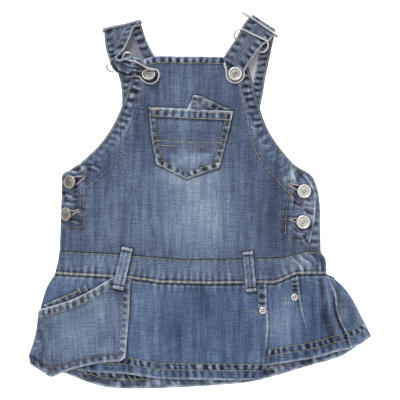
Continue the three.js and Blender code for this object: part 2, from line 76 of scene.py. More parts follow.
# %% Camera, floor and light
CAMERA_HEIGHT = 3.0
LENS = 250
SENSOR = 36
VIEW_CENTRE = -1.1 * MM          # the dress lies a little to the left of its own middle
TABLE_REACH = 30
TABLE_COLOUR = (0.94, 0.94, 0.94, 1)
TABLE_LIGHT = 0.8                # how much light the table gives by itself
WHITE = (1, 1, 1, 1)
# where the walls end and the ceiling starts, and how bright each of them is
ROOM = {"From Min": 0.08, "From Max": 0.35, "To Min": 1.1, "To Max": 0.52}


def add(name, data):
    """Puts a mesh, a lamp or a camera into the scene."""
    thing = bpy.data.objects.new(name, data)
    bpy.context.scene.collection.objects.link(thing)
    return thing


def new_material(name, **settings):
    """A material, its nodes and its shader, with plain values set on the shader's own sockets."""
    material = bpy.data.materials.new(name)
    material.use_nodes = True
    shader = material.node_tree.nodes["Principled BSDF"]
    for socket, value in settings.items():
        shader.inputs[socket.replace("_", " ")].default_value = value
    return material, material.node_tree, shader


def make_camera():
    camera = add("camera", bpy.data.cameras.new("camera"))
    camera.data.lens = LENS
    camera.data.sensor_width = SENSOR
    camera.location = (VIEW_CENTRE, 0, CAMERA_HEIGHT)
    bpy.context.scene.camera = camera


def make_floor():
    floor = bpy.data.meshes.new("floor")
    corners = [(x * TABLE_REACH, y * TABLE_REACH, 0) for x, y in ((-1, -1), (1, -1), (1, 1), (-1, 1))]
    floor.from_pydata(corners, [], [(0, 1, 2, 3)])
    material, _, _ = new_material(
        "floor", Base_Color=TABLE_COLOUR, Roughness=0.9, Specular_IOR_Level=0.1,
        Emission_Color=WHITE, Emission_Strength=TABLE_LIGHT)
    floor.materials.append(material)
    add("floor", floor)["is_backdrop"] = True


def make_lamp(name, place, size, watts):
    lamp = bpy.data.lights.new(name, "AREA")
    lamp.shape = "DISK"
    lamp.size = size
    lamp.energy = watts
    holder = add(name, lamp)
    holder.location = place
    holder.rotation_mode = "QUATERNION"
    holder.rotation_quaternion = (-Vector(place)).to_track_quat("-Z", "Y")


def make_room():
    """White walls at eye level, and a ceiling with half as much light."""
    room = bpy.data.worlds.new("room")
    room.use_nodes = True
    tree = room.node_tree
    direction = tree.nodes.new("ShaderNodeTexCoord")
    apart = tree.nodes.new("ShaderNodeSeparateXYZ")
    light = tree.nodes.new("ShaderNodeMapRange")
    light.interpolation_type = "SMOOTHSTEP"
    for socket, value in ROOM.items():
        light.inputs[socket].default_value = value
    background = tree.nodes["Background"]
    background.inputs["Color"].default_value = WHITE
    tree.links.new(direction.outputs["Generated"], apart.inputs[0])
    tree.links.new(apart.outputs["Z"], light.inputs["Value"])
    tree.links.new(light.outputs[0], background.inputs["Strength"])
    bpy.context.scene.world = room


make_camera()
make_floor()
make_lamp("key", (-0.8, 1.9, 1.5), 0.8, 38)
make_lamp("fill", (1.2, -0.9, 2.0), 1.6, 5)
make_room()
bpy.context.scene.view_settings.view_transform = "Standard"
print("view:", round(SENSOR / LENS * CAMERA_HEIGHT / MM), "mm across")

# %% [markdown]
# ## From a solid back to a grid of cloth
# A woven panel has two natural directions, and every later step wants them: how far is this point from
# the hem, or along the seam? The frame's cloth solids are walls made from such a grid, cut into
# triangles. One rule gives the grid back: two triangles that share an edge make a parallelogram, so the
# far corner's grid place is the sum of the shared corners' places less the near corner's. A remesh
# would also give small faces, but it would lose both directions and blur the sharp corners.

# %% The grid under a wall
WALL = 1.2                       # thickness of the frame's cloth walls
SAME_LENGTH = 4e-6               # how exactly, in metres, an edge has to be as long as the wall is thick
SAME_PLACE = 2e-6                # corners closer than this are one corner


def two_sides(bm):
    """The two faces of a wall, as sets of triangles. Its rim is every triangle with an edge as long as the
    wall is thick."""
    rim = {f for e in bm.edges if abs(e.calc_length() - WALL * MM) < SAME_LENGTH for f in e.link_faces}
    left = set(bm.faces) - rim
    sides = []
    while left:
        side, edge_of_side = set(), [left.pop()]
        while edge_of_side:
            face = edge_of_side.pop()
            side.add(face)
            for other in {f for e in face.edges for f in e.link_faces} & left:
                left.discard(other)
                edge_of_side.append(other)
        sides.append(side)
    return sorted(sides, key=len)[-2:]


def grid_places(side):
    """The (row, column) of every corner of a side, spread out from its most square triangle."""
    def squareness(face):
        return min(abs(loop.calc_angle() - math.pi / 2) for loop in face.loops)

    seed = min(side, key=squareness)
    corner = min(seed.loops, key=lambda loop: abs(loop.calc_angle() - math.pi / 2))
    place = {corner.vert: (0, 0), corner.link_loop_prev.vert: (-1, 0), corner.link_loop_next.vert: (0, 1)}
    waiting, done = [seed], {seed}
    while waiting:
        face = waiting.pop()
        for edge in face.edges:
            near_corner = next(v for v in face.verts if v not in edge.verts)
            for other in edge.link_faces:
                if other in done or other not in side:
                    continue
                far = next(v for v in other.verts if v not in edge.verts)
                (a, b), (c, d), (e, f) = (place[v] for v in (*edge.verts, near_corner))
                place.setdefault(far, (a + c - e, b + d - f))
                done.add(other)
                waiting.append(other)
    return place


def welded(node):
    """A node of the frame with its doubled corners joined."""
    bm = bmesh.new()
    bm.from_mesh(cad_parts[node].data)
    bmesh.ops.remove_doubles(bm, verts=bm.verts, dist=SAME_PLACE)
    return bm


def cloth_grid(node, first):
    """The right side of a cloth node as an array [row, column] of points in millimetres. `first` is the
    direction, in plan, of the corner where rows and columns start, and columns run towards +X."""
    bm = welded(node)
    sides = two_sides(bm)
    place = grid_places(max(sides, key=lambda side: max(v.co.z for f in side for v in f.verts)))
    spots = np.array(list(place.values()))
    spots -= spots.min(axis=0)
    grid = np.full((*(spots.max(axis=0) + 1), 3), np.nan)
    for (row, column), vert in zip(spots, place):
        grid[row, column] = vert.co
    bm.free()
    assert not np.isnan(grid).any(), f"{node} isn't a full grid"
    corners = [(0, 0), (0, -1), (-1, 0), (-1, -1)]
    row, column = max(corners, key=lambda at: grid[at][:2] @ np.array(first, float))
    grid = grid[::-1] if row else grid
    grid = grid[:, ::-1] if column else grid
    if grid[-1, 0][0] > grid[0, -1][0]:
        grid = grid.transpose(1, 0, 2)
    return grid / MM


for node in ("front_bodice", "front_skirt", "strap_left"):
    print(node, "is a grid of", cloth_grid(node, (-1, 1)).shape[:2], "points")

# %% [markdown]
# ## Finer cloth on the same form
# Denim bends in smooth curves, so the fine points lie on curves through the coarse ones. The slope at
# each point weighs its two neighbours by their distance, which keeps a tight pleat turn from swinging
# out where a 1 mm step follows a 10 mm one. Extra rows close to each edge let the cloth roll over there.

# %% Smooth curves, distances and soft steps
EDGE_STEPS = (0.35, 0.9)         # extra rows this far from an edge
LINE_STEP = 1.5                  # and lines have a point this often


def smooth_through(points, at):
    """Curves through `points` along their first axis, read at the fractional places `at`."""
    step = np.diff(points, axis=0)
    chord = np.linalg.norm(step, axis=-1, keepdims=True) + 1e-6
    slope = step / chord
    tangent = np.concatenate([slope[:1], slope, slope[-1:]])
    before, after = tangent[:-1], tangent[1:]
    near_chord = np.concatenate([chord[:1], chord])
    next_chord = np.concatenate([chord, chord[-1:]])
    tangent = (before * next_chord + after * near_chord) / (near_chord + next_chord)
    i = np.minimum(at.astype(int), len(points) - 2)
    s = (at - i).reshape(-1, *[1] * (points.ndim - 1))
    start, end = points[i], points[i + 1]
    into, out = tangent[i] * chord[i], tangent[i + 1] * chord[i]
    return (start * (1 + 2 * s) * (1 - s) ** 2 + into * s * (1 - s) ** 2
            + end * s ** 2 * (3 - 2 * s) + out * s ** 2 * (s - 1))


def fine_places(points, spacing):
    """Fractional places along the first axis, about `spacing` apart, with more near both ends."""
    chord = np.linalg.norm(np.diff(points, axis=0), axis=-1)
    chord = chord.reshape(len(chord), -1).mean(axis=1)
    places = [0.0]
    for i, length in enumerate(chord):
        count = max(1, round(length / spacing))
        places.extend(i + (k + 1) / count for k in range(count))
    ends = [d / chord[0] for d in EDGE_STEPS] + [len(chord) - d / chord[-1] for d in EDGE_STEPS]
    return np.unique(np.round(places + [e for e in ends if 0 < e < len(chord)], 4))


def line(*points, spacing=LINE_STEP):
    """A smooth line through a few points (x, y) or (x, y, z), as close points."""
    coarse = np.array([(*p, 0)[:3] for p in points], float)
    length = np.linalg.norm(np.diff(coarse, axis=0), axis=1).sum()
    count = max(3, 2 * len(coarse), int(length / spacing))
    return evenly(smooth_through(coarse, np.linspace(0, len(coarse) - 1, count)), spacing)


def run_of(points):
    """How far along a line each of its points is."""
    return np.concatenate([[0], np.cumsum(np.linalg.norm(np.diff(points, axis=0), axis=1))])


def evenly(points, spacing):
    """The same line with its points about `spacing` apart."""
    run = run_of(points)
    count = max(2, round(run[-1] / spacing) + 1)
    at = np.linspace(0, run[-1], count)
    return np.stack([np.interp(at, run, points[:, k]) for k in range(3)], axis=1)


def near(path, x, y):
    """Distance in plan from points (x, y) to a line, and how far along it the nearest place is."""
    best, along = np.full(x.shape, 1e9), np.zeros(x.shape)
    for start, end, run in zip(path[:-1], path[1:], run_of(path)):
        dx, dy = end[:2] - start[:2]
        length = math.hypot(dx, dy) + 1e-9
        t = np.clip(((x - start[0]) * dx + (y - start[1]) * dy) / length ** 2, 0, 1)
        distance = np.hypot(x - start[0] - t * dx, y - start[1] - t * dy)
        closer = distance < best
        best = np.where(closer, distance, best)
        along = np.where(closer, run + t * length, along)
    return best, along


def unit(vectors):
    """The same directions, each vector 1 long."""
    return vectors / np.linalg.norm(vectors, axis=-1, keepdims=True)


def soft(low, high, value):
    """0 below `low`, 1 above `high`, and smooth between them. It falls instead if low is the larger."""
    t = np.clip((value - low) / (high - low), 0, 1)
    return t * t * (3 - 2 * t)


def hump(distance, width):
    """1 at no distance, and close to 0 from twice the width on."""
    return np.exp(-(distance / width) ** 2)


def noise(x, y, seed, size=1.0, across=None):
    """Smooth random values from -1 to 1, in patches `size` long, or `across` by `size` if it is given."""
    cells = 64                   # after so many patches the values come again
    table = np.random.default_rng(seed).uniform(-1, 1, (cells, cells))
    gx, gy = np.asarray(x, float) / (across or size), np.asarray(y, float) / size
    ix, iy = np.floor(gx).astype(int), np.floor(gy).astype(int)
    fx, fy = soft(0, 1, gx - ix), soft(0, 1, gy - iy)
    corner = lambda i, j: table[(ix + i) % cells, (iy + j) % cells]
    top = corner(0, 0) * (1 - fx) + corner(1, 0) * fx
    bottom = corner(0, 1) * (1 - fx) + corner(1, 1) * fx
    return top * (1 - fy) + bottom * fy


print("a soft step at its middle:", soft(0, 1, np.array(0.5)))

# %% [markdown]
# ## One piece of cloth
# A Cloth holds a piece while it is being made. Each fine point has a height above the plain cloth
# (`lift`) and three colour layers: how far its indigo has faded (`fade`), the dark hollows and pale
# bumps of a roped seam together with painted shade in grooves, creases, beside thick edges and round
# buttons (`rope`), and bare pale thread on worn edges (`wear`). The mesh and its materials
# read these at the end, so a crease is shaped and coloured by the same line of code.

# %% One piece of cloth
cloths = {}


class Cloth:
    """A piece's fine grid, its layers of height and colour, and the stitch rows sewn on it."""

    def __init__(self, node, first=(-1, 1), spacing=1.4, grain=0.0, along_strap=False, seed=1):
        coarse = cloth_grid(node, first)
        rows = smooth_through(coarse, fine_places(coarse, spacing))
        sideways = rows.transpose(1, 0, 2)
        self.base = smooth_through(sideways, fine_places(sideways, spacing)).transpose(1, 0, 2)
        self.node, self.seed, self.rows = node, seed, []
        self.normal = self.normals(self.base)
        self.x, self.y, self.z = np.moveaxis(self.base, 2, 0)
        self.lift, self.back_lift, self.fade, self.rope, self.wear, self.turned = (
            np.zeros(self.x.shape) for _ in range(6))
        steps_right = np.linalg.norm(np.diff(self.base, axis=1), axis=2)
        steps_down = np.linalg.norm(np.diff(self.base, axis=0), axis=2)
        self.right_run = np.pad(np.cumsum(steps_right, axis=1), ((0, 0), (1, 0)))
        self.down_run = np.pad(np.cumsum(steps_down, axis=0), ((1, 0), (0, 0)))
        if along_strap:
            self.grain = np.stack([self.right_run, self.down_run], axis=2)
        else:
            c, s = math.cos(math.radians(grain)), math.sin(math.radians(grain))
            self.grain = np.stack([self.x * c + self.y * s, self.y * c - self.x * s], axis=2)
        cloths[node] = self

    @staticmethod
    def normals(points):
        return unit(np.cross(np.gradient(points, axis=0), np.gradient(points, axis=1)))

    def edge(self, side):
        """One of the four edges, as a line that runs down or to the right."""
        return {"left": self.base[:, 0], "right": self.base[:, -1],
                "top": self.base[0], "bottom": self.base[-1]}[side]

    def from_edge(self, side):
        """For every point, its distance from an edge measured in the cloth, and where along that edge its
        row or column starts."""
        if side == "left":
            return self.right_run, self.down_run[:, :1] + 0 * self.x
        if side == "right":
            return self.right_run[:, -1:] - self.right_run, self.down_run[:, -1:] + 0 * self.x
        if side == "top":
            return self.down_run, self.right_run[:1] + 0 * self.x
        return self.down_run[-1:] - self.down_run, self.right_run[-1:] + 0 * self.x

    def near(self, path):
        return near(path, self.x, self.y)

    def inset(self, side, distance, start=0.0, end=0.0):
        """The line in the cloth at a distance from an edge, short of its two ends by start and end."""
        away, points = self.from_edge(side)[0], self.base
        if side in ("top", "bottom"):
            away, points = away.T, points.transpose(1, 0, 2)
        found = []
        for reach, row in zip(away, points):
            order = np.argsort(reach)
            found.append([np.interp(distance, reach[order], row[order, k]) for k in range(3)])
        found = np.array(found)
        run = run_of(found)
        return evenly(found[(run >= start) & (run <= run[-1] - end)], LINE_STEP)

    def area(self):
        across, down = np.diff(self.base, axis=1)[:-1], np.diff(self.base, axis=0)[:, :-1]
        return np.linalg.norm(np.cross(across, down), axis=2).sum()


# %% [markdown]
# ## What sewing and washing do
# A hem is cloth turned twice, so it stands higher than the panel. Its stitches pull a groove, and
# because the turned layers twist a little, the hem ropes: bumps and hollows follow each other every
# 7 to 8 mm. Washing takes the indigo off the bumps and leaves it in the hollows. That pattern is the
# mark of real denim, so it is both height and colour here. Bump alone would vanish in a side view.

# %% Hems, ropes, creases and fades
ROPE_PERIOD = 7.8


def rope_wave(run, seed, period=ROPE_PERIOD):
    """Uneven waves along a seam: 1 on a bump and -1 in a hollow."""
    drift = 0.5 * noise(run, run * 0, seed, 23)
    wave = np.cos(2 * np.pi * (run / period + drift))
    return np.clip(1.3 * wave * (1 + 0.5 * noise(run, run * 0, seed + 1, 9)), -1, 1)


def roped(cloth, away, run, inner, outer, strength=1.0, height=0.28, seed=1, period=ROPE_PERIOD):
    """Hollows and bumps between `inner` and `outer` from an edge. No two are alike: each leans and fades
    in its own way, and fine mottling covers them all."""
    middle, half = (inner + outer) / 2, (outer - inner) / 2
    inside = np.clip(1.25 - ((away - middle) / half) ** 2, 0, 1)
    lean = 0.12 * away + 1.1 * noise(run, away, seed + 2, 5, 7)
    wave = rope_wave(run + lean, seed, period)
    uneven = 0.8 + 0.45 * noise(run, away, seed + 3, 4, 9)
    mottle = 0.45 * noise(run, away, seed + 4, 2.2, 2.6)
    tint = np.where(wave < 0, 1.1, 0.75) * wave * uneven
    cloth.rope += strength * inside * (tint + mottle - 0.12)
    cloth.lift += height * strength * inside * (wave * uneven + 0.4 * mottle)


def hem(cloth, away, run, width, thick=0.55, wear=0.8, seed=1):
    """A turned edge, `width` wide, thicker than the panel and worn along its fold, with shade painted just
    past its inner edge.
    """
    cloth.lift += thick * soft(width + 0.9, width - 0.7, away)
    cloth.lift -= 0.55 * hump(away, 0.55)
    patchy = 0.7 + 0.5 * noise(run, run * 0, seed + 5, 6)
    cloth.wear += wear * hump(away - 0.4, 1.1) * np.clip(patchy, 0, 1.2)
    # painted shade just past the hem's inner edge
    cloth.rope -= 0.45 * wear * hump(away - width - 0.8, 0.9)


def puckers(cloth, away, run, reach, strength=1.0, seed=1, period=6.0):
    """Short wrinkles square to a seam that die out at `reach` from it."""
    wave = rope_wave(run, seed, period) * (0.65 + 0.35 * noise(run, away, seed + 3, 7))
    fade_out = soft(reach, reach * 0.15, away)
    cloth.rope += 0.42 * strength * wave * fade_out
    cloth.lift += 0.2 * strength * wave * fade_out


def crease(cloth, path, width, height, wear=0.0, dark=0.0):
    """A soft ridge, or a trough if height is negative, that tapers off at both ends of its line. Its `dark`
    paints shade along it, and its `wear` pales its crest.
    """
    away, run = cloth.near(path)
    length = run_of(path)[-1]
    taper = soft(0, 0.22 * length, run) * soft(length, 0.78 * length, run)
    shape = hump(away, width) * (0.25 + 0.75 * taper)
    cloth.lift += height * shape
    cloth.wear += wear * shape * hump(away, width * 0.6)
    cloth.rope -= dark * shape


def creases(cloth, *table):
    """Many creases, each as (the points of its line), width, height, wear and painted shade."""
    for points, width, height, wear, dark in table:
        crease(cloth, line(*points), width, height, wear, dark)


def patches(cloth, *table):
    """Soft-edged patches, each as x, y, width, height and how much paler, or darker if negative."""
    for x, y, width, height, amount in table:
        cloth.fade += amount * np.exp(-((cloth.x - x) / width) ** 2 - ((cloth.y - y) / height) ** 2)


def wash(cloth, amount=0.05):
    """Uneven dye all over: cloudy patches and longer streaks down the warp."""
    u, v = cloth.grain[..., 0], cloth.grain[..., 1]
    cloth.fade += amount * noise(u, v, cloth.seed + 20, 34, 22)
    cloth.fade += 0.7 * amount * noise(u, v, cloth.seed + 21, 46, 5)
    cloth.lift += 0.22 * noise(u, v, cloth.seed + 22, 30, 21)


# %% [markdown]
# ## Stitch rows
# A lockstitch row is a dotted line of short raised threads. Each stitch here is a small bent capsule
# with its ends sunk in the cloth. A row is only a line and a thread colour until all the cloth is
# shaped. Then every stitch is dropped on the finished surface, so none floats over a hollow.

# %% Stitch rows
STITCH = 2.2
STITCH_GAP = 0.7
THREAD = 0.31                    # radius of the thread
GROOVE = 0.85                    # half width of the groove that a row pulls
# each thread's darkest and brightest shade
THREAD_SHADES = {
    "gold": ((142, 144, 98), (212, 210, 158)),
    "tan": ((168, 154, 128), (222, 214, 194)),
    "rose": ((176, 150, 142), (224, 206, 200)),
    "pale": ((152, 156, 168), (208, 208, 216)),
    "brown": ((104, 94, 90), (178, 162, 146)),
}


def sew(cloth, path, thread="gold", depth=0.28, dark=0.35):
    """A row of stitches along a line on a cloth, and the groove it pulls, with shade painted along it by
    `dark`.
    """
    away, _ = cloth.near(path)
    cloth.lift -= depth * hump(away, GROOVE)
    # painted shade along the row's groove
    cloth.rope -= dark * hump(away, 1.1)
    cloth.rows.append((path, thread))


def beside(path, distance):
    """A line moved sideways in plan, to the left of its direction."""
    ahead = unit(np.gradient(path[:, :2], axis=0))
    moved = path.copy()
    moved[:, 0] -= distance * ahead[:, 1]
    moved[:, 1] += distance * ahead[:, 0]
    return moved


def part_of(path, start=0.0, end=0.0):
    """A line without its first `start` and last `end` millimetres."""
    run = run_of(path)
    return path[(run >= start) & (run <= run[-1] - end)]


def bartack(cloth, start, end, width, thread):
    """A solid bar of thread: stitches side by side, square to the line from start to end."""
    start, end = np.array(start, float), np.array(end, float)
    length = np.linalg.norm(end - start)
    ahead = (end - start) / length
    across = np.array([-ahead[1], ahead[0]])
    for step in np.arange(0, length, 2 * THREAD):
        middle = start + ahead * step
        ends = [middle - across * width / 2, middle + across * width / 2]
        cloth.rows.append((line(*ends, spacing=width), thread))
    away, _ = cloth.near(line(start, end))
    cloth.lift += 0.18 * hump(away, width * 0.6)


# %% [markdown]
# ## Indigo twill as a material
# Denim is woven from blue warp over white weft, so it never has one colour. Four scales make it:
# the diagonal twill, slubs that run down the warp as streaks, grainy fading from point to point, and
# the wash, rope, wear and painted shade that the mesh carries. They add up to one number, from raw indigo
# to bare white thread, and one colour ramp turns it into colour. Separate mixes for every effect would drift
# apart in hue, but a ramp keeps worn seams and faded panels in one family, as one dye does.

# %% Node helpers
def new_group(name, inputs, outputs):
    """An empty shader group with named number, colour or vector sockets."""
    kinds = {"value": "NodeSocketFloat", "colour": "NodeSocketColor", "vector": "NodeSocketVector"}
    group = bpy.data.node_groups.new(name, "ShaderNodeTree")
    for socket, kind, default in inputs:
        made = group.interface.new_socket(socket, in_out="INPUT", socket_type=kinds[kind])
        if default is not None:
            made.default_value = default
    for socket, kind in outputs:
        group.interface.new_socket(socket, in_out="OUTPUT", socket_type=kinds[kind])
    return group, group.nodes.new("NodeGroupInput").outputs, group.nodes.new("NodeGroupOutput").inputs


def put(value, socket):
    """Joins an output to an input, or sets the input to a plain value."""
    if isinstance(value, bpy.types.NodeSocket):
        socket.id_data.links.new(value, socket)
    else:
        socket.default_value = value


def math_node(tree, operation, *values, clamp=False):
    node = tree.nodes.new("ShaderNodeMath")
    node.operation = operation
    node.use_clamp = clamp
    for value, socket in zip(values, node.inputs):
        put(value, socket)
    return node.outputs[0]


def add_share(tree, base, value, share, clamp=False):
    """A base value with a share of another added to it."""
    return math_node(tree, "ADD", base, math_node(tree, "MULTIPLY", value, share), clamp=clamp)


def noise_node(tree, vector, stretch, detail=2.0, rough=0.5):
    """Noise about the middle value 0, in cells of 1/stretch metres along each direction."""
    mapping = tree.nodes.new("ShaderNodeMapping")
    put(vector, mapping.inputs["Vector"])
    mapping.inputs["Scale"].default_value = stretch
    node = tree.nodes.new("ShaderNodeTexNoise")
    put(mapping.outputs[0], node.inputs["Vector"])
    node.inputs["Scale"].default_value = 1.0
    node.inputs["Detail"].default_value = detail
    node.inputs["Roughness"].default_value = rough
    return math_node(tree, "SUBTRACT", node.outputs["Fac"], 0.5)


def place_group(tree, group, **values):
    node = tree.nodes.new("ShaderNodeGroup")
    node.node_tree = group
    for name, value in values.items():
        put(value, node.inputs[name.replace("_", " ")])
    return node.outputs


def ramp_node(tree, value, colours):
    """A number turned into a colour, by a list of (place, colour)."""
    node = tree.nodes.new("ShaderNodeValToRGB")
    put(value, node.inputs[0])
    ramp = node.color_ramp
    for _ in colours[2:]:
        ramp.elements.new(0.5)
    for element, (place, colour) in zip(ramp.elements, colours):
        element.position = place
        element.color = (*colour, 1)
    return node.outputs["Color"]


def mix_node(tree, share, first, second):
    """The second colour over the first, by a share from 0 to 1."""
    node = tree.nodes.new("ShaderNodeMix")
    node.data_type = "RGBA"
    for value, socket in zip((share, first, second), (node.inputs[0], node.inputs[6], node.inputs[7])):
        put(value, socket)
    return node.outputs[2]


def bump_node(tree, height, strength, distance, shader):
    """Fine relief that bends the light but not the mesh."""
    raised = tree.nodes.new("ShaderNodeBump")
    raised.inputs["Strength"].default_value = strength
    raised.inputs["Distance"].default_value = distance * MM
    put(height, raised.inputs["Height"])
    put(raised.outputs["Normal"], shader.inputs["Normal"])


def attribute(tree, name, output="Fac"):
    """What the mesh carries under a name."""
    node = tree.nodes.new("ShaderNodeAttribute")
    node.attribute_name = name
    return node.outputs[output]


def linear(red, green, blue):
    """A screen colour from 0 to 255 as the light it stands for."""
    return tuple(((c / 255 + 0.055) / 1.055) ** 2.4 for c in (red, green, blue))


# %% Weave, slub and wash groups
RIB = 0.0009                     # metres from one twill rib to the next
YARN = 0.0006                    # and from one yarn to the next
RIB_SLANT = 0.62


def twill_group():
    """The diagonal ribs of the weave, and the pale weft between them."""
    group, given, out = new_group(
        "twill weave", [("Grain", "vector", None), ("Rib", "value", RIB)], [("Height", "value")])
    apart = group.nodes.new("ShaderNodeSeparateXYZ")
    put(given["Grain"], apart.inputs[0])
    slant = add_share(group, apart.outputs[0], apart.outputs[1], RIB_SLANT)
    turn = math_node(group, "MULTIPLY", math_node(group, "DIVIDE", slant, given["Rib"]), 2 * math.pi)
    rib = math_node(group, "SINE", turn)
    yarn = math_node(group, "SINE", math_node(group, "MULTIPLY", apart.outputs[0], 2 * math.pi / YARN))
    put(add_share(group, math_node(group, "MULTIPLY", rib, 0.35), yarn, 0.15), out["Height"])
    return group


def slub_group():
    """Uneven yarn: streaks down the warp and faint ones along the weft, with grain between them."""
    group, given, out = new_group(
        "slub streaks", [("Grain", "vector", None)], [("Streak", "value"), ("Speck", "value")])
    fine = noise_node(group, given["Grain"], (620, 38, 1), 3, 0.6)
    broad = noise_node(group, given["Grain"], (190, 15, 1), 2)
    weft = noise_node(group, given["Grain"], (50, 700, 1), 2)
    put(add_share(group, add_share(group, fine, broad, 0.9), weft, 0.8), out["Streak"])
    put(noise_node(group, given["Grain"], (760, 640, 1), 3, 0.7), out["Speck"])
    return group


def washed_group(twill, slub):
    """All that has faded, together with the painted shade that the mesh carries, from 0, raw indigo, to 1,
    bare white thread.
    """
    group, given, out = new_group(
        "washed indigo",
        [("Grain", "vector", None), ("Tone", "value", 0.42), ("Fade", "value", 0), ("Rope", "value", 0),
         ("Wear", "value", 0), ("Slub", "value", 0.2), ("Specks", "value", 0.2)],
        [("Level", "value"), ("Seam", "value"), ("Height", "value"), ("Roughness", "value")])
    weave = place_group(group, twill, Grain=given["Grain"])
    yarn = place_group(group, slub, Grain=given["Grain"])
    cloudy = noise_node(group, given["Grain"], (95, 80, 1), 4, 0.62)
    level = math_node(group, "ADD", given["Tone"], given["Fade"])
    for value, share in (
        (given["Rope"], 0.33), (yarn["Streak"], given["Slub"]), (yarn["Speck"], given["Specks"]),
        (weave["Height"], 0.03), (cloudy, 0.2),
    ):
        level = add_share(group, level, value, share)
    rub = math_node(group, "MULTIPLY", given["Wear"], add_share(group, 0.85, yarn["Speck"], 1.4))
    put(add_share(group, level, rub, 0.42, clamp=True), out["Level"])
    # seams turn greyer by the strength of their roping, painted shade and wear
    rubbed = math_node(group, "MULTIPLY", math_node(group, "ABSOLUTE", given["Rope"]), 1.1)
    put(math_node(group, "ADD", rubbed, given["Wear"], clamp=True), out["Seam"])
    height = add_share(group, weave["Height"], yarn["Streak"], 0.8)
    put(add_share(group, height, yarn["Speck"], 1.1), out["Height"])
    put(add_share(group, 0.8, yarn["Speck"], 0.25), out["Roughness"])
    return group


WASHED = washed_group(twill_group(), slub_group())
print("groups:", [group.name for group in bpy.data.node_groups])

# %% Cloth materials
SLUB = 0.44                      # how strongly the streaks show
SPECKS = 0.95                    # and the grain
DYE_STEPS = (0.0, 0.16, 0.32, 0.48, 0.64, 0.8, 1.0)


def dye(*colours, steps=DYE_STEPS):
    """The colours from raw dye to bare thread, as a ramp."""
    return [(step, linear(*colour)) for step, colour in zip(steps, colours)]


INDIGO = dye((27, 32, 46), (47, 56, 77), (70, 81, 106), (91, 105, 130), (117, 135, 160), (145, 161, 182),
             (194, 203, 214))
SKIRT_INDIGO = dye((26, 33, 50), (46, 58, 84), (69, 86, 118), (91, 111, 143), (116, 137, 166),
                   (146, 164, 188), (196, 206, 218))
SEAM_INDIGO = dye((30, 34, 46), (49, 55, 71), (72, 80, 100), (96, 106, 124), (121, 134, 153), (149, 163, 183),
                  (194, 204, 217))
WRONG_SIDE = dye((62, 68, 84), (118, 126, 140), (152, 159, 168), (196, 200, 205), steps=(0.0, 0.3, 0.6, 1.0))


def denim(name, tone, colours, turned=None):
    """Denim from one colour ramp, with greyer seams. With `turned`, that ramp shows instead where a hem
    turns the cloth over."""
    material, tree, shader = new_material(
        name, Specular_IOR_Level=0.18, Sheen_Weight=0.12, Sheen_Roughness=0.5)
    washed = place_group(
        tree, WASHED, Grain=attribute(tree, "grain", "Vector"), Tone=tone, Fade=attribute(tree, "fade"),
        Rope=attribute(tree, "rope"), Wear=attribute(tree, "wear"), Slub=SLUB, Specks=SPECKS)
    colour = ramp_node(tree, washed["Level"], colours)
    where = attribute(tree, "turned") if turned else washed["Seam"]
    second = ramp_node(tree, washed["Level"], turned or SEAM_INDIGO)
    put(mix_node(tree, where, colour, second), shader.inputs["Base Color"])
    put(washed["Roughness"], shader.inputs["Roughness"])
    bump_node(tree, washed["Height"], 0.5, 0.25, shader)
    return material


DENIM = {
    "denim": denim("denim", 0.42, INDIGO),
    "denim_faded": denim("denim_faded", 0.49, INDIGO),
    "denim_dark": denim("denim_dark", 0.42, SEAM_INDIGO),
}
SKIRT_DENIM = denim("denim_skirt", 0.443, SKIRT_INDIGO)
WRONG = denim("denim_wrong_side", 0.42, WRONG_SIDE, turned=SEAM_INDIGO)
print("cloth materials:", [*DENIM, SKIRT_DENIM.name, WRONG.name])

# %% Seams along an edge
INWARD = {"left": 1, "right": -1, "top": -1, "bottom": 1}


def edge_line(cloth, side, low=-math.inf, high=math.inf):
    """The part of an edge between two heights."""
    edge = cloth.edge(side)
    return edge[(edge[:, 1] >= low) & (edge[:, 1] <= high)]


def edge_seam(cloth, side, width, rows, strength=1.0, thick=0.5, wear=0.8, thread="gold", seed=1,
              edge=None, start=0.5, end=0.5, height=0.28):
    """A turned and stitched edge: thicker cloth, a rope between its stitch rows, and a worn fold."""
    edge = cloth.edge(side) if edge is None else edge
    away, run = cloth.near(edge)
    hem(cloth, away, run, width, thick, wear, seed)
    roped(cloth, away, run, 1.0, width, strength, height, seed + 1)
    for distance in rows:
        sew(cloth, part_of(beside(edge, INWARD[side] * distance), start, end), thread)
    return away, run


# %% [markdown]
# ## The bodice
# The bib and the body are one panel. Its armholes are faced on the inside, so a stitch row runs about
# 16 mm in from the edge all the way to the side, and the cloth between them is stiffer and roped.
# Each side closes with two buttons on a placket that is stitched round like a box. The middle has been
# rubbed the most, so it is palest below the pocket.

# %% The armholes and plackets
SHOULDER = 27                    # height where the armholes end and the sides begin
bodice = Cloth("front_bodice", spacing=1.15, grain=-0.5, seed=11)


def armhole(cloth, side, facing, seed):
    """A hemmed armhole, and the stitch row of the facing behind it."""
    edge = edge_line(cloth, side, low=SHOULDER)
    away, run = cloth.near(edge)
    near_bib = soft(95, 40, run)
    hem(cloth, away, run, 2.8, 0.35, 0.35, seed)
    roped(cloth, away, run, 2.4, 13.5, 0.4 + 0.8 * near_bib, 0.3, seed + 1)
    band = soft(18, 14, away)
    cloth.fade += 0.07 * band * (1 - near_bib)
    cloth.lift += 0.3 * band
    cloth.wear += 0.4 * hump(away - 14, 1.6) * near_bib
    blotch = soft(0.1, 0.8, noise(cloth.x, cloth.y, seed + 8, 6, 8)) * band * (1 - near_bib)
    cloth.rope += 0.45 * blotch
    cloth.lift += 0.35 * blotch
    cloth.rope += 0.4 * band * noise(run, away, seed + 9, 3.4, 3)
    sew(cloth, part_of(beside(edge, INWARD[side] * 1.7), 3), "gold")
    sew(cloth, facing, "pale" if side == "left" else "tan", dark=0.5)
    from_facing, run = cloth.near(facing)
    puckers(cloth, from_facing, run, 7, 0.5, seed + 4)


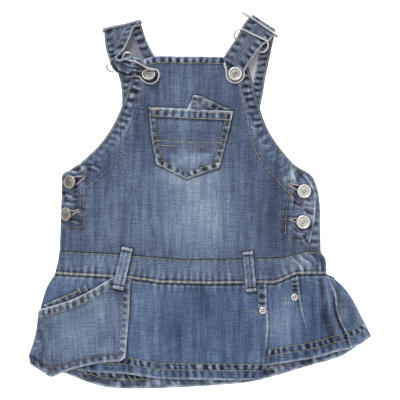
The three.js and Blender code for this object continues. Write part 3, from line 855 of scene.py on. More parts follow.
def placket(cloth, box, side, seed, wear=0.4):
    """The buttoned side: double cloth inside a stitched box."""
    sew(cloth, box, "gold", dark=0.8)
    edge = edge_line(cloth, side, high=SHOULDER)
    away, run = cloth.near(edge)
    hem(cloth, away, run, 3, 0.3, wear, seed)
    from_box, along = cloth.near(box)
    puckers(cloth, from_box, along, 9, 0.75, seed + 2, 8)
    inside = soft(27, 22, away) * soft(-38, -30, cloth.y) * soft(46, 38, cloth.y)
    cloth.lift += 0.35 * inside
    wrinkle = 1 - 2 * np.abs(noise(cloth.x, cloth.y, seed + 6, 10, 15))
    cloth.lift += 0.9 * inside * wrinkle
    # colour follows the wrinkles: painted shade in their hollows and painted highlight on their ridges
    cloth.rope += 0.5 * inside * (wrinkle - 0.4) + 0.45 * inside * noise(cloth.x, cloth.y, seed + 7, 4, 5)
    cloth.wear += 0.3 * inside * soft(0.86, 1.0, wrinkle)
    cloth.fade += 0.08 * inside


away, _ = edge_seam(bodice, "top", 7.2, [7], 1.15, seed=12, start=3, end=3, height=0.34)
bodice.fade += 0.09 * soft(8.4, 7.2, away)
armhole(bodice, "left", line((-68, 127), (-67, 106), (-71, 90), (-77, 70), (-84, 52), (-97, 36),
                             (-113, 22), (-126, 12), (-148, 3)), 21)
armhole(bodice, "right", line((44, 130), (45, 104), (49, 91), (55, 64), (64, 43), (75, 30),
                              (85, 18), (94, 9), (109, -6), (121, -11)), 31)
placket(bodice, np.concatenate([line((-126, 41), (-126.5, 10), (-126, -28)),
                                line((-126.5, -29), (-140, -30), (-151, -32))]), "left", 41)
placket(bodice, np.concatenate([line((94, 27), (94.5, 9), (92, -12), (91, -37)),
                                line((91.5, -38.5), (100, -41), (116, -50))]), "right", 51, wear=0.9)
bartack(bodice, (97.3, 39), (97, 32.5), 1.4, "gold")
print("rows of thread on the bodice:", len(bodice.rows))

# %% Buttonholes, and painted shadow round the buttons
HOLE_STITCH = 1.5                # length of the stitches round a buttonhole


def buttonhole(cloth, start, end, opening=1.6, closed=1.0):
    """A slit with thread sewn round it. The button's neck pulls it open by `opening` on both sides of
    `start`, and it closes again after a share `closed` of its length."""
    slit = line(start, end, spacing=0.6)
    length = run_of(slit)[-1]
    ahead = (slit[-1] - slit[0])[:2] / length
    for turn in (-1, 1):
        across = turn * np.array([-ahead[1], ahead[0]])
        for point, run in zip(slit[1:-1], run_of(slit)[1:-1]):
            open_by = 0.2 + opening * max(0, 1 - run / length / closed)
            near_end = point[:2] + across * open_by
            cloth.rows.append((line(near_end, near_end + across * HOLE_STITCH, spacing=HOLE_STITCH), "rose"))
    away, run = cloth.near(slit)
    open_by = 0.2 + opening * np.clip(1 - run / length / closed, 0, 1)
    cloth.lift += 0.35 * hump(away - open_by - 1.0, 1.3) - 0.6 * hump(away, 0.8)
    # painted shade inside the opened slit, and in a line beyond its stitches
    cloth.rope -= 1.3 * soft(open_by + 0.5, open_by - 0.3, away) + 0.7 * hump(away - open_by - 2.8, 1.1)
    cloth.wear += 0.3 * hump(away - open_by - 1.6, 0.9)


def kept_round(cloth, x, y, radius, amount):
    """Paints a ring of shadow round a button's rim."""
    away = np.hypot(cloth.x - x, cloth.y - y)
    cloth.rope -= amount * hump(away - radius, 1.5)


for start, end, opening, closed in (
    ((-136.5, 20.5), (-126.5, 25), 3.6, 1.0), ((-143, -15), (-131, -11), 3.4, 0.5),
    ((105, 13), (96, 16.5), 1.7, 1.0), ((105, -22.5), (96, -20.5), 1.7, 0.7),
):
    buttonhole(bodice, start, end, opening, closed)
for x, y, radius, amount in (
    (-141.5, 19.4, 7, 0.9), (-147, -15, 6.6, 0.9), (111.4, 9.3, 7.4, 0.8), (110.1, -23.8, 7.4, 0.8),
    (36.7, 136.1, 9, 0.6), (-56.5, 133.9, 7.4, 0.8),
):
    kept_round(bodice, x, y, radius, amount)
print("and with its four buttonholes:", len(bodice.rows))


# %% Wrinkles and fades of the bodice
def wrinkles(cloth, ridge, trough, *table):
    """Worn ridges, each with a trough on its left that has shade painted in it. `ridge` is (width, wear),
    `trough` is (distance, width, share of the ridge's height, painted shade), and the table has (the
    points of a line), height."""
    width, wear = ridge
    apart, trough_width, share, dark = trough
    for points, height in table:
        path = line(*points)
        crease(cloth, path, width, height, wear=wear)
        crease(cloth, beside(path, apart), trough_width, share * height, dark=dark)


# between the buttons and the facing rows
wrinkles(
    bodice, (1.3, 0.95), (2.5, 1.2, -0.6, 0.9),
    (((98.5, 31), (100, 25), (103.5, 18), (109, 17)), 0.9), (((100, -27), (107, -34), (116, -33)), 0.7),
    (((108, -37), (112, -46), (118, -52)), 0.8), (((96, 8), (99, 0), (97, -9)), 0.5),
    (((109, -8), (116, -8.5), (123, -10)), 0.8), (((97, -4), (103, -7), (109, -8)), 0.7),
    (((112, 27), (118, 19), (121.5, 8), (122.5, -10), (121.5, -30), (119.5, -45)), 0.9),
    (((109, -9), (113, -15), (121, -18)), 0.6), (((97, -30), (104, -36), (113, -37)), 0.8),
    (((101, -43), (110, -44), (117, -38)), 0.6), (((112, -1), (117, -3), (122, -2)), 0.5),
    (((-148, 27), (-141, 31.5), (-136, 29.5), (-130, 31), (-127, 36)), 0.9),
    (((-151, 4), (-144, 5), (-137, 1), (-130, 2)), 0.8), (((-146, -3), (-139, -5), (-133, -3)), 0.6),
    (((-148, -24), (-140, -23), (-130, -26)), 0.6), (((-123, 36), (-116, 35), (-108, 31)), 0.6),
)
# troughs with shade painted along them
for points in (
    ((-138, 34), (-132, 35), (-128, 31)), ((-124, 33), (-119, 32.5), (-114, 31)),
    ((104, 27), (109, 24), (113, 24)), ((113, -2), (118, -2.5), (121, -3)),
    ((113, -12), (118, -13.5), (121, -15)), ((108, -2), (109, -7), (110, -14)),
    ((-150, 9), (-146, 2), (-147, -5)),
):
    crease(bodice, line(*points), 1.3, -0.5, dark=0.9)

# long soft folds of a panel that isn't quite flat
creases(
    bodice,
    (((-105, 30), (-70, -5), (-52, -45)), 9, 0.5, 0, 0), (((70, 30), (62, -10), (68, -50)), 8, 0.6, 0, 0),
    (((88, 5), (78, -20), (80, -55)), 6, -0.5, 0, 0), (((-40, 135), (-30, 100), (-34, 70)), 8, 0.4, 0, 0),
    (((-120, -5), (-112, -30), (-116, -52)), 8, -0.4, 0, 0),
)
patches(
    bodice,
    (-6, 4, 42, 34, 0.2), (-4, -32, 58, 38, 0.19), (-14, 128, 42, 18, 0.02), (76, -12, 16, 42, -0.12),
    (44, 40, 18, 30, -0.05), (-64, 70, 14, 36, -0.03), (-98, -12, 30, 30, 0.05), (-60, 30, 20, 24, 0.03),
    (106, 35, 12, 10, 0.04), (-22, 116, 9, 40, 0.05), (-30, 0, 6, 60, 0.04), (14, -10, 7, 60, 0.05),
    (-14, 25, 36, 11, 0.2), (118, -6, 8, 13, 0.3), (118, -38, 9, 10, 0.1), (-136, -2, 9, 12, 0.09),
    (-120, -38, 22, 14, 0.07), (120, -5, 6, 10, 0.12), (-38, 31, 9, 7, 0.1), (15, 31, 8, 7, 0.07),
)
puckers(bodice, *bodice.near(bodice.edge("bottom")), 6, 0.4, 61)
wash(bodice)
print("bodice:", bodice.x.shape, "points,", round(bodice.area() / 100), "square centimetres")

# %% [markdown]
# ## The waistband
# A band of cloth between two seams. The lower seam takes the gathers of the skirt, so it stands up like a
# cord. A tan row and a gold one lie close together along it, with small puckers on both sides.

# %% The waistband
waistband = Cloth("front_waistband", spacing=1.1, grain=0.6, seed=71)
upper, lower = waistband.edge("top"), waistband.edge("bottom")
puckers(waistband, *waistband.near(upper), 8, 0.9, 72, 7)
puckers(waistband, *waistband.near(lower), 17, 1.7, 76, 7)
away, _ = waistband.near(lower)
waistband.lift += 0.45 * hump(away - 1.2, 1.4)
waistband.wear += 0.75 * hump(away - 0.6, 1.2)
# painted shade beside the corded lower seam
waistband.rope -= 0.8 * hump(away - 3.4, 1.0)
away, _ = waistband.near(upper)
# painted shade along the upper seam, under the bodice's edge
waistband.rope -= 1.0 * hump(away, 1.0)
sew(waistband, beside(upper, -1.6))
sew(waistband, beside(lower, 2.1), "tan", depth=0.1, dark=0.0)
sew(waistband, beside(lower, 1.2), depth=0.0, dark=0.0)
patches(
    waistband,
    (-60, -70, 60, 14, 0.05), (0, -74, 50, 12, 0.05), (108, -68, 25, 14, 0.2), (-125, -68, 30, 10, 0.06),
    (71, -76, 8, 10, -0.08), (124, -62, 8, 10, -0.12), (72, -76, 10, 9, -0.09),
)
wrinkles(
    waistband, (1.6, 0.55), (3.0, 1.5, -0.5, 0.7),
    (((103, -57), (110, -64), (118, -70), (121, -80)), 0.8), (((113, -57), (120, -62), (127, -70)), 0.7),
    (((124, -60), (128, -67), (129, -78)), 0.8), (((96, -62), (104, -68), (112, -80)), 0.5),
)
wash(waistband)
print("waistband:", waistband.x.shape, "points")

# %% [markdown]
# ## The skirt
# The skirt is cut wider than the waist and folded into two pleats on the right, each held by a riveted
# tack. Its hem is wide and strongly roped. The folds are the frame's, and the cloth keeps its own width
# all the way into them, which a flat panel with a painted shadow couldn't show from the side. Shade is
# also painted along the troughs of its creases.

# %% The skirt's hem and folds
skirt = Cloth("front_skirt", spacing=1.2, grain=1.0, seed=81)


def worn_folds(cloth, amount=0.7, reach=2):
    """Pale wear where the cloth turns over on itself, and on `reach` points to each side of that."""
    turning = soft(0.03, 0.6, 1 - np.abs(cloth.normal[..., 2]))
    for _ in range(reach):
        spread = np.maximum(np.roll(turning, 1, axis=1), np.roll(turning, -1, axis=1))
        spread[:, [0, -1]] = turning[:, [0, -1]]
        turning = np.maximum(turning, 0.7 * spread)
    cloth.wear += amount * turning * (0.75 + 0.5 * noise(cloth.x, cloth.y, cloth.seed + 9, 7))


def deep_hem(cloth, upper, lower, strength, seed):
    """A wide hem with two stitch rows, roped between them and again at its fold."""
    away, run = cloth.from_edge("bottom")
    hem(cloth, away, run, upper, 0.6, 0.4, seed)
    cloth.wear += 1.0 * hump(away - 0.8, 1.3) * (0.8 + 0.35 * noise(run, away, seed + 7, 5))
    roped(cloth, away, run, lower + 0.2, upper, 1.35 * strength, 0.36, seed + 1, 8.2)
    roped(cloth, away, run, 2.2, lower - 0.4, 0.5 * strength, 0.3, seed + 2, 8.6)
    for distance in (upper, lower):
        sew(cloth, cloth.inset("bottom", distance, 0.5, 0.5))


deep_hem(skirt, 17, 10.2, 1.0, 82)
worn_folds(skirt)
away, run = skirt.from_edge("top")
puckers(skirt, away, run, 14, 1.1, 86, 7.5)
# painted shade along the top, under the waistband's edge
skirt.rope -= 1.1 * hump(away - 0.3, 1.5)
skirt.wear += 0.55 * hump(away - 3.0, 1.0)
print(f"the hem and the folds lift the skirt by up to {skirt.lift.max():.1f} mm")

# %% The pleats and the fades of the skirt
for points, thread in (
    (((61.5, -93), (61.8, -104), (61.5, -117)), "gold"), (((69.8, -95), (70.3, -105), (70.2, -119)), "rose"),
    (((97, -85), (97.4, -94), (97.2, -102)), "gold"),
):
    sew(skirt, line(*points), thread)
for middle, width, seed in (
    (line((65.8, -92), (66.0, -104), (66.0, -118)), 4.6, 87),
    (line((100.8, -83), (101, -92), (101, -101)), 4.0, 88),
):
    roped(skirt, *skirt.near(middle), -width, width, 0.95, 0.3, seed, 7)
bartack(skirt, (49.5, -120.3), (62.5, -121.5), 1.4, "brown")
bartack(skirt, (87.5, -108.5), (98, -107.5), 1.3, "brown")
# the last value of each crease paints shade along it
creases(
    skirt,
    (((103.2, -80), (105.6, -102.6), (109, -120), (114, -138)), 1.25, 0.8, 1.4, 0.0),
    (((100.8, -84), (103, -102), (106.4, -119)), 1.3, -0.4, 0.0, 0.6),
    (((69.3, -88), (69.8, -112), (71, -124), (71.9, -135), (71.3, -146), (70.6, -153)), 1.3, 0.3, 1.3, 0.0),
    (((138, -84), (144.7, -103), (145.8, -116), (151, -132), (157.5, -146), (161, -158), (166, -182),
      (172, -202)), 1.05, 1.5, 1.4, 0.0),
    (((141.5, -88), (147.6, -103), (148.6, -115), (153.6, -131), (160, -146)), 1.7, -0.5, 0.0, 0.45),
    (((141.4, -98), (143.2, -106), (144.2, -117), (149.4, -133), (155.8, -147), (159.3, -159)),
     0.95, -0.9, 0.0, 2.4),
    (((135, -86), (140.6, -104), (142.0, -117), (147.2, -133), (153, -147)), 1.8, -0.4, 0.0, 0.45),
    (((133, -104), (134, -125), (139.5, -143), (146, -162)), 5.0, -1.0, 0.0, 0.75),
    (((130, -82), (136, -93), (138.5, -108), (139, -124)), 2.4, 1.0, 0.25, 0.0),
    (((126, -82), (130, -94), (131, -110)), 2.4, -0.7, 0.0, 0.8),
    (((112, -86), (122, -88), (131, -92)), 2.0, 0.6, 0.5, 0.0),
    (((118, -90), (124, -104), (126, -122)), 5.0, 0.8, 0.1, 0.0),
    (((152, -104), (160, -118), (166, -140)), 5.0, -0.6, 0.0, 0.45),
    (((150, -96), (162, -106), (172, -124)), 4.0, 0.8, 0.15, 0.0),
    (((-60, -92), (-64, -120), (-62, -150)), 8.0, 0.5, 0.0, 0.0),
    (((-38, -94), (-34, -125), (-36, -155)), 7.0, -0.4, 0.0, 0.1),
    (((28, -95), (34, -125), (30, -158)), 8.0, 0.5, 0.0, 0.0),
    (((160, -100), (168, -120), (176, -140)), 3.0, 0.5, 0.2, 0.0),
)
patches(
    skirt,
    (-62, -128, 18, 34, 0.14), (-30, -125, 10, 34, 0.05), (14, -128, 26, 26, -0.06), (92, -126, 15, 32, 0.15),
    (76, -142, 9, 28, 0.12), (125, -132, 12, 26, -0.07), (155, -120, 12, 20, 0.04), (-136, -92, 26, 14, 0.1),
    (40, -164, 30, 8, -0.03), (50, -104, 10, 12, -0.03), (168, -126, 9, 14, 0.1), (152, -98, 8, 10, -0.1),
    (-44, -110, 5, 40, 0.05), (4, -150, 6, 30, 0.05), (59, -170, 8, 10, 0.22), (136, -108, 8, 13, 0.13),
    (121, -124, 10, 18, 0.05), (135, -157, 10, 6, -0.18), (148, -162, 9, 7, 0.1), (93, -108, 8, 5, 0.12),
    (57, -122, 7, 4, 0.12),
)
wash(skirt, 0.085)
print("skirt:", skirt.x.shape, "points,", round(skirt.area() / 100), "square centimetres")

# %% [markdown]
# ## The pockets and loops
# A patch pocket is the first thing to wear: its mouth and its sides stand proud of the dress, so their
# edges are pale, and shade is painted in the hollows beside them. The bib pocket is bare but for two
# plain rows across it, and something folded from the same cloth is tucked in behind it.

# %% The hip pocket
MOUTH_END = -94                  # the mouth's seam ends just short of the belt loop
ROOM_BELOW = 0.5                 # how far the pocket can dip before it meets the skirt
hip = Cloth("hip_pocket", spacing=1.1, grain=3.0, seed=101)
mouth = hip.edge("top")
mouth = mouth[mouth[:, 0] < MOUTH_END]


def pale_edge(cloth, away, run, amount, seed, width=1.5):
    """The rubbed roll of cloth just inside an edge that stands proud."""
    cloth.wear += amount * hump(away - 1.1, width) * (0.85 + 0.3 * noise(run, away, seed, 6))


away, run = edge_seam(hip, "top", 9.5, [3.2, 8.4], 1.0, 0.55, 0.5, seed=102, edge=mouth, start=1, height=0.34)
pale_edge(hip, away, run, 0.6, 103, 1.3)
hip.fade += 0.08 * soft(10.5, 9, away)
away, run = edge_seam(hip, "right", 7.4, [2.2, 7.4], 0.75, 0.5, 0.5, "pale", 104, start=2, end=2, height=0.34)
pale_edge(hip, away, run, 0.75, 105)
away, run = edge_seam(hip, "bottom", 8.0, [7.6], 0.8, 0.5, 0.5, "brown", 106, start=6, end=3)
sew(hip, part_of(beside(hip.edge("bottom"), 2.2), 6, 3), "pale")
# painted shade along the bottom's upper stitch row
hip.rope -= 0.4 * hump(away - 7.6, 1.0)
pale_edge(hip, away, run, 0.9, 107)
edge_seam(hip, "left", 6.4, [], 0.3, 0.4, 0.2, seed=108)
# the dark patch at (-87, -100) is painted shade under the belt loop's foot
patches(
    hip,
    (-130, -140, 32, 28, 0.16), (-105, -120, 14, 20, 0.08), (-160, -155, 18, 20, 0.03),
    (-150, -125, 18, 8, 0.06), (-171, -168, 12, 12, 0.08), (-87, -100, 12, 5, -0.16),
    (-83, -142, 7, 24, 0.22), (-105, -164, 20, 9, 0.16),
)
creases(
    hip,
    (((-172, -130), (-168, -150), (-176, -172)), 5, 0.8, 0.1, 0.0),
    (((-178, -160), (-165, -172), (-150, -178)), 5, -0.6, 0.0, 0.3),
    (((-182, -168), (-172, -180), (-162, -186)), 2.5, 0.7, 0.6, 0.0),
    (((-174, -140), (-170, -158), (-174, -176)), 2.0, -0.6, 0.0, 0.6),
    (((-160, -150), (-163, -166), (-161, -180)), 2.4, 0.6, 0.3, 0.0),
    (((-183, -166), (-176, -174), (-166, -182)), 1.5, -0.5, 0.0, 1.0),
    (((-110, -105), (-118, -130), (-112, -160)), 8, 0.5, 0.0, 0.0),
)
wash(hip, 0.06)
hip.lift = np.maximum(hip.lift, -ROOM_BELOW)
print("hip pocket:", hip.x.shape, "points")

# %% What shows in the hip pocket's mouth
facing = Cloth("hip_pocket_facing", spacing=1.2, grain=22, seed=111)
edge_seam(facing, "top", 6.0, [1.5], 1.0, 0.4, 0.9, seed=112)
facing.fade += 0.06
wash(facing)

tab = Cloth("hip_pocket_tab", spacing=0.9, grain=22, seed=115)
edge_seam(tab, "left", 2.6, [1.8], 0.4, 0.3, 0.9, seed=116)
edge_seam(tab, "right", 2.6, [], 0.4, 0.3, 1.0, seed=118)
tab.fade += 0.1
tab.lift += 0.4
across, _ = tab.from_edge("left")
# painted shade just past the left hem
tab.rope -= 0.9 * hump(across - 3.8, 0.9)
bartack(tab, tab.base[2, 3, :2], tab.base[-6, 3, :2], 1.5, "gold")
wash(tab)
print("facing and tab:", facing.x.shape, tab.x.shape)

# %% The bib pocket and what is tucked behind it
bib = Cloth("bib_pocket", spacing=1.0, grain=-2.0, seed=121)
away, run = edge_seam(bib, "top", 9.8, [2.4, 9.6], 0.9, 0.55, 0.5, "tan", 122, height=0.32)
pale_edge(bib, away, run, 0.8, 123)
bib.fade += 0.05 * soft(10.5, 9, away)
bib.wear += 0.4 * hump(away - 9.0, 0.9)
# painted shade under the top hem
bib.rope -= 0.8 * hump(away - 11.4, 1.2)
edge_seam(bib, "left", 6.0, [1.4, 6.2], 1.05, 0.4, 0.8, seed=124, start=2, end=1)
edge_seam(bib, "right", 6.0, [1.4, 6.2], 1.0, 0.4, 0.9, seed=126, start=2, end=1)
away, run = edge_seam(bib, "bottom", 6.4, [1.6, 6.6], 1.2, 0.4, 0.6, seed=128, start=1, end=1)
pale_edge(bib, away, run, 0.45, 129, 1.2)
lower_part = soft(62, 50, bib.y)
bib.rope += 0.55 * lower_part * noise(bib.x, bib.y, 130, 6, 7) * soft(4, 14, np.abs(bib.x + 14))
for height in (62.0, 57.0):
    sew(bib, line((-50, height + 2.5), (-14, height + 0.5), (23, height)), "tan")
bartack(bib, (-54.5, 98), (-46, 98.5), 1.9, "rose")
bartack(bib, (26, 95.5), (33, 94.5), 1.9, "gold")
patches(
    bib,
    (-15, 80, 22, 10, 0.07), (-12, 44, 24, 10, 0.17), (10, 52, 10, 12, 0.05), (-48, 60, 8, 24, -0.05),
)
crease(bib, line((-46, 92), (-30, 78), (-28, 60)), 6, 0.6)
crease(bib, line((24, 90), (16, 74), (18, 56)), 6, 0.5)
wash(bib, 0.06)

insert = Cloth("bib_pocket_insert", spacing=0.9, grain=-24, seed=131)
edge_seam(insert, "top", 8.0, [1.6, 6.8], 1.2, 0.5, 0.7, "tan", 132, height=0.34)
edge_seam(insert, "left", 5.0, [], 0.9, 0.3, 0.8, "tan", 134)
insert.fade += 0.3 - 0.28 * soft(-2, 14, insert.x)
insert.rope += 0.8 * noise(insert.x, insert.y, 135, 3, 3.4)
wash(insert)
print("bib pocket and insert:", bib.x.shape, insert.x.shape)

# %% The belt loops
loops = [Cloth(f"belt_loop_{side}", spacing=0.8, along_strap=True, seed=seed)
         for side, seed in (("left", 141), ("right", 146))]
for loop, paler in zip(loops, (0.23, 0.14)):
    edge_seam(loop, "left", 3.0, [1.6], 0.5, 0.35, 0.5, "pale", loop.seed, start=4, end=4)
    away, _ = edge_seam(loop, "right", 3.2, [2.6], 0.6, 0.35, 0.9, "pale", loop.seed + 2, start=4, end=4)
    # painted shade just inside the right seam's hem
    loop.rope -= 0.6 * hump(away - 3.4, 0.9)
    loop.fade += paler + 0.09 * noise(loop.right_run, loop.down_run, loop.seed + 3, 4)
    for from_end in (loop.from_edge("top")[0], loop.from_edge("bottom")[0]):
        loop.lift += 0.6 * soft(4.2, 3.0, from_end)
        loop.wear += 0.6 * soft(3.8, 3.0, from_end) * (1 - 0.6 * hump(from_end - 1.9, 0.7))
        # painted shade where the folded-under end steps down
        loop.rope -= 1.3 * hump(from_end - 4.3, 0.9)
    for end in (loop.inset("top", 1.9), loop.inset("bottom", 1.9)):
        left, right = end[0][:2], end[-1][:2]
        bartack(loop, left * 0.86 + right * 0.14, left * 0.2 + right * 0.8, 1.6, "pale")
    wash(loop)
print("loops:", [loop.x.shape for loop in loops])


# %% Painted shade beside thick edges
def kept_beside(cloth, edge):
    """Paints shade on cloth beside a thick edge that lies on it."""
    away, _ = cloth.near(edge)
    cloth.rope -= 0.9 * hump(away, 1.5)


for under, over, sides in (
    (bodice, bib, ("left", "right", "bottom", "top")), (bodice, insert, ("left", "top")),
    (skirt, hip, ("right", "bottom", "top")), (skirt, facing, ("top",)), (facing, hip, ("top",)),
    (facing, tab, ("left", "right", "top")), (insert, bib, ("top",)),
    (bodice, loops[0], ("left", "right", "top")), (bodice, loops[1], ("left", "right", "top")),
    (waistband, loops[0], ("left", "right")), (waistband, loops[1], ("left", "right")),
    (hip, loops[0], ("left", "right", "bottom")), (skirt, loops[1], ("left", "right", "bottom")),
):
    for side in sides:
        kept_beside(under, over.edge(side))
print(f"darkest hollow on the bodice: {bodice.rope.min():.1f}")

# %% [markdown]
# ## The straps
# A strap is one long band that runs up the back, round its slide and down to the button, with its two
# edges turned in and roped. So its wrong side shows blue bands along the edges with pale weft between
# them. The left one has lost its slide's grip and is crumpled into a knot above the button.

# %% The straps
left_strap = Cloth("strap_left", first=(-1, -1), spacing=1.0, along_strap=True, seed=151)
right_strap = Cloth("strap_right", first=(-1, -1), spacing=1.0, along_strap=True, seed=161)


def strap_edges(cloth, seed, left_ends, right_ends):
    """Turned edges with two stitch rows each. The rows end short of the strap's end by `left_ends` and
    `right_ends`: (outer row, inner row)."""
    down = soft(0.2, -0.2, cloth.normal[..., 2])     # 1 where the right side faces the table
    reach = 4.2 + 1.6 * down
    for side, seed, ends in (("left", seed, left_ends), ("right", seed + 5, right_ends)):
        away, run = cloth.from_edge(side)
        band = soft(12.5, 11, away)
        wave = rope_wave(run + 0.12 * away + noise(run, away, seed + 3, 5, 6), seed, 7.6)
        wave *= 0.8 + 0.45 * noise(run, away, seed + 4, 4, 8)
        inside = np.clip(1.25 - ((away - 1.2 - reach) / reach) ** 2, 0, 1)
        cloth.rope += inside * (np.where(wave < 0, 1.15, 0.75) * wave - 0.1)
        cloth.rope += 0.4 * inside * noise(run, away, seed + 5, 2.2, 2.6)
        for height, part in ((cloth.lift, 1 - down), (cloth.back_lift, 1.0)):
            height += part * (0.42 * band + 0.26 * inside * wave - 0.5 * hump(away, 0.5))
        cloth.turned = np.maximum(cloth.turned, band)
        cloth.wear += 0.9 * hump(away - 0.3, 0.9) * (0.7 + 0.4 * noise(run, run * 0, seed + 2, 6))
        for distance, short, thread in zip((1.6, 10.6), ends, ("gold", "pale")):
            cloth.rows.append((cloth.inset(side, distance, 1, short), thread))
            # painted shade along each stitch row
            cloth.rope -= 0.3 * hump(away - distance, 1.1)
            cloth.lift -= 0.25 * hump(away - distance, GROOVE) * (1 - down)
            cloth.back_lift -= 0.25 * hump(away - distance, GROOVE)
        cloth.wear += 0.9 * hump(away - 0.8, 1.2) * (1 - down) * (side == "right")
    cloth.fade += 0.05
    cloth.lift = np.where(down > 0.5, np.minimum(cloth.lift, 0), cloth.lift)


def pressed(cloth, path, width, depth):
    """Where a wire is drawn over cloth, the cloth lies flat and gives way a little."""
    away, _ = cloth.near(path)
    press = hump(away, width) * (cloth.z > 3)
    cloth.lift *= 1 - press
    cloth.lift -= depth * press


strap_edges(left_strap, 152, (42, 56), (42, 60))
strap_edges(right_strap, 162, (3, 3), (3, 76))
worn_folds(right_strap, 0.3, 1)
right_strap.fade += 0.5 * (1 - right_strap.turned) * soft(0.2, -0.2, right_strap.normal[..., 2])
pressed(left_strap, line((-107, 184.4), (-65, 194.2)), 3.0, 0.5)
pressed(right_strap, line((45, 202.4), (83, 176.8)), 3.0, 0.0)
wash(left_strap)
wash(right_strap)
print("strap lengths:", [round(strap.down_run[-1].mean()) for strap in (left_strap, right_strap)], "mm")

# %% The crumpled end of the left strap
CRUMPLED = 0.76                  # the share of the strap's length where the knot begins


def crumple(cloth, start, amount, seed):
    """Sharp small folds from `start` along the strap to its end. Their colour follows them: painted shade in
    the hollows, and paler crests of painted highlight and wear.
    """
    along = cloth.down_run - start
    part = soft(0, 10, along)
    across = cloth.right_run
    fold = 1 - 2 * np.abs(noise(across + 0.5 * along, along, seed, 9, 6))
    small = 1 - 2 * np.abs(noise(across - 0.4 * along, along, seed + 1, 5, 4))
    cloth.lift += amount * part * (0.7 * fold + 0.3 * small)
    cloth.rope *= 1 - 0.7 * part
    cloth.rope += part * (0.8 * fold - 0.35 + 0.3 * small)
    cloth.wear += 0.5 * part * soft(0.75, 1.0, fold)


crumple(left_strap, left_strap.down_run[-1].mean() * CRUMPLED, 1.0, 155)
wrinkles(
    left_strap, (1.3, 0.8), (-2.6, 1.3, -0.7, 1.2),
    (((-88, 150), (-80, 146), (-66, 143)), 1.0), (((-93, 145), (-84, 139), (-72, 136)), 0.9),
    (((-91, 151), (-84, 151), (-74, 151)), 0.7), (((-80, 137), (-74, 140), (-64, 139)), 0.6),
)
print("straps:", left_strap.x.shape, right_strap.x.shape)

# %% [markdown]
# ## The back of the dress
# The back lies face down under the front, so what shows of it is its inside: pale weft, with the blue
# right side only where the hems turn in. Most of it is covered, so its mesh is coarser.

# %% The back of the dress
back_bodice = Cloth("back_bodice", spacing=2.2, seed=171)
back_bodice.fade += 0.08
back_waistband = Cloth("back_waistband", spacing=2.2, seed=172)
back_skirt = Cloth("back_skirt", spacing=1.5, grain=1, seed=173)
for side in ("left", "right", "top"):
    away, run = back_bodice.near(back_bodice.edge(side))
    back_bodice.turned = np.maximum(back_bodice.turned, soft(15, 14, away))
    back_bodice.rope += 0.8 * np.clip(1.15 - ((away - 7) / 6) ** 2, 0, 1) * rope_wave(run, 174)
    hem(back_bodice, away, run, 14, 0.3, 0.6, 175)
away, run = back_skirt.from_edge("bottom")
back_skirt.turned = soft(21, 20, away)
deep_hem(back_skirt, 18, 10, 1.1, 176)
back_skirt.fade += 0.06 + 0.07 * noise(run, away, 179, 12, 9)
back_skirt.rope += 1.0 * noise(run, away, 180, 5, 6) * soft(20, 16, away)
# two troughs with shade painted along them
crease(back_skirt, line((-95, -196), (-60, -190), (-20, -192)), 3, -0.5, dark=0.3)
crease(back_skirt, line((90, -182), (110, -176), (140, -168)), 3, -0.5, dark=0.4)
wash(back_skirt)
print("back:", back_bodice.x.shape, back_waistband.x.shape, back_skirt.x.shape)

# %% [markdown]
# ## Finishing a piece
# The right side is the shaped grid, the wrong side keeps the frame's own level, and a rounded rim joins
# them. So the piece is a closed shell with real thickness. A single sheet with a Solidify modifier
# would give that too, but both sides would then be creased alike, and the underside wouldn't be flat.

# %% Finishing a piece
RIM = 0.22                       # how far the rounded rim stands out


def loop_of(rows, columns):
    """Grid indices once round the edge of a grid, down the left side first."""
    at = np.arange(rows * columns).reshape(rows, columns)
    return np.concatenate([at[:, 0], at[-1, 1:], at[-2::-1, -1], at[0, -2:0:-1]])


def shell_points(cloth):
    """Right side, wrong side, and the middle of the rim pushed out a little."""
    over = (cloth.base + cloth.normal * cloth.lift[..., None]).reshape(-1, 3)
    under = (cloth.base - cloth.normal * (WALL + cloth.back_lift[..., None])).reshape(-1, 3)
    for side in (over, under):
        side[:, 2] = np.maximum(side[:, 2], 0)
    ring = loop_of(*cloth.x.shape)
    middle = (over[ring] + under[ring]) / 2
    ahead = np.roll(middle, -1, axis=0) - np.roll(middle, 1, axis=0)
    outward = np.cross(ahead, cloth.normal.reshape(-1, 3)[ring])
    middle += RIM * outward / (np.linalg.norm(outward, axis=1, keepdims=True) + 1e-9)
    return np.concatenate([over, under, middle]), ring


def shell_faces(rows, columns, ring):
    """The four-sided faces of a shell, and how many of them one side has."""
    count = rows * columns
    at = np.arange(count).reshape(rows, columns)
    over = np.stack([at[:-1, :-1], at[1:, :-1], at[1:, 1:], at[:-1, 1:]], axis=2).reshape(-1, 4)
    under = over[:, ::-1] + count
    rim = np.arange(len(ring)) + 2 * count
    next_ring, next_rim = np.roll(ring, -1), np.roll(rim, -1)
    upper = np.stack([next_ring, ring, rim, next_rim], axis=1)
    lower = np.stack([next_rim, rim, ring + count, next_ring + count], axis=1)
    return np.concatenate([over, under, upper, lower]), len(over)


def mesh_from(name, points, faces):
    """A smooth mesh from points in millimetres and faces that all have the same number of corners."""
    mesh = bpy.data.meshes.new(name)
    mesh.vertices.add(len(points))
    mesh.vertices.foreach_set("co", (points * MM).astype(np.float32).ravel())
    mesh.loops.add(faces.size)
    mesh.loops.foreach_set("vertex_index", faces.astype(np.int32).ravel())
    mesh.polygons.add(len(faces))
    mesh.polygons.foreach_set("loop_start", np.arange(0, faces.size, faces.shape[1], dtype=np.int32))
    mesh.polygons.foreach_set("use_smooth", np.ones(len(faces), bool))
    mesh.update(calc_edges=True)
    return mesh


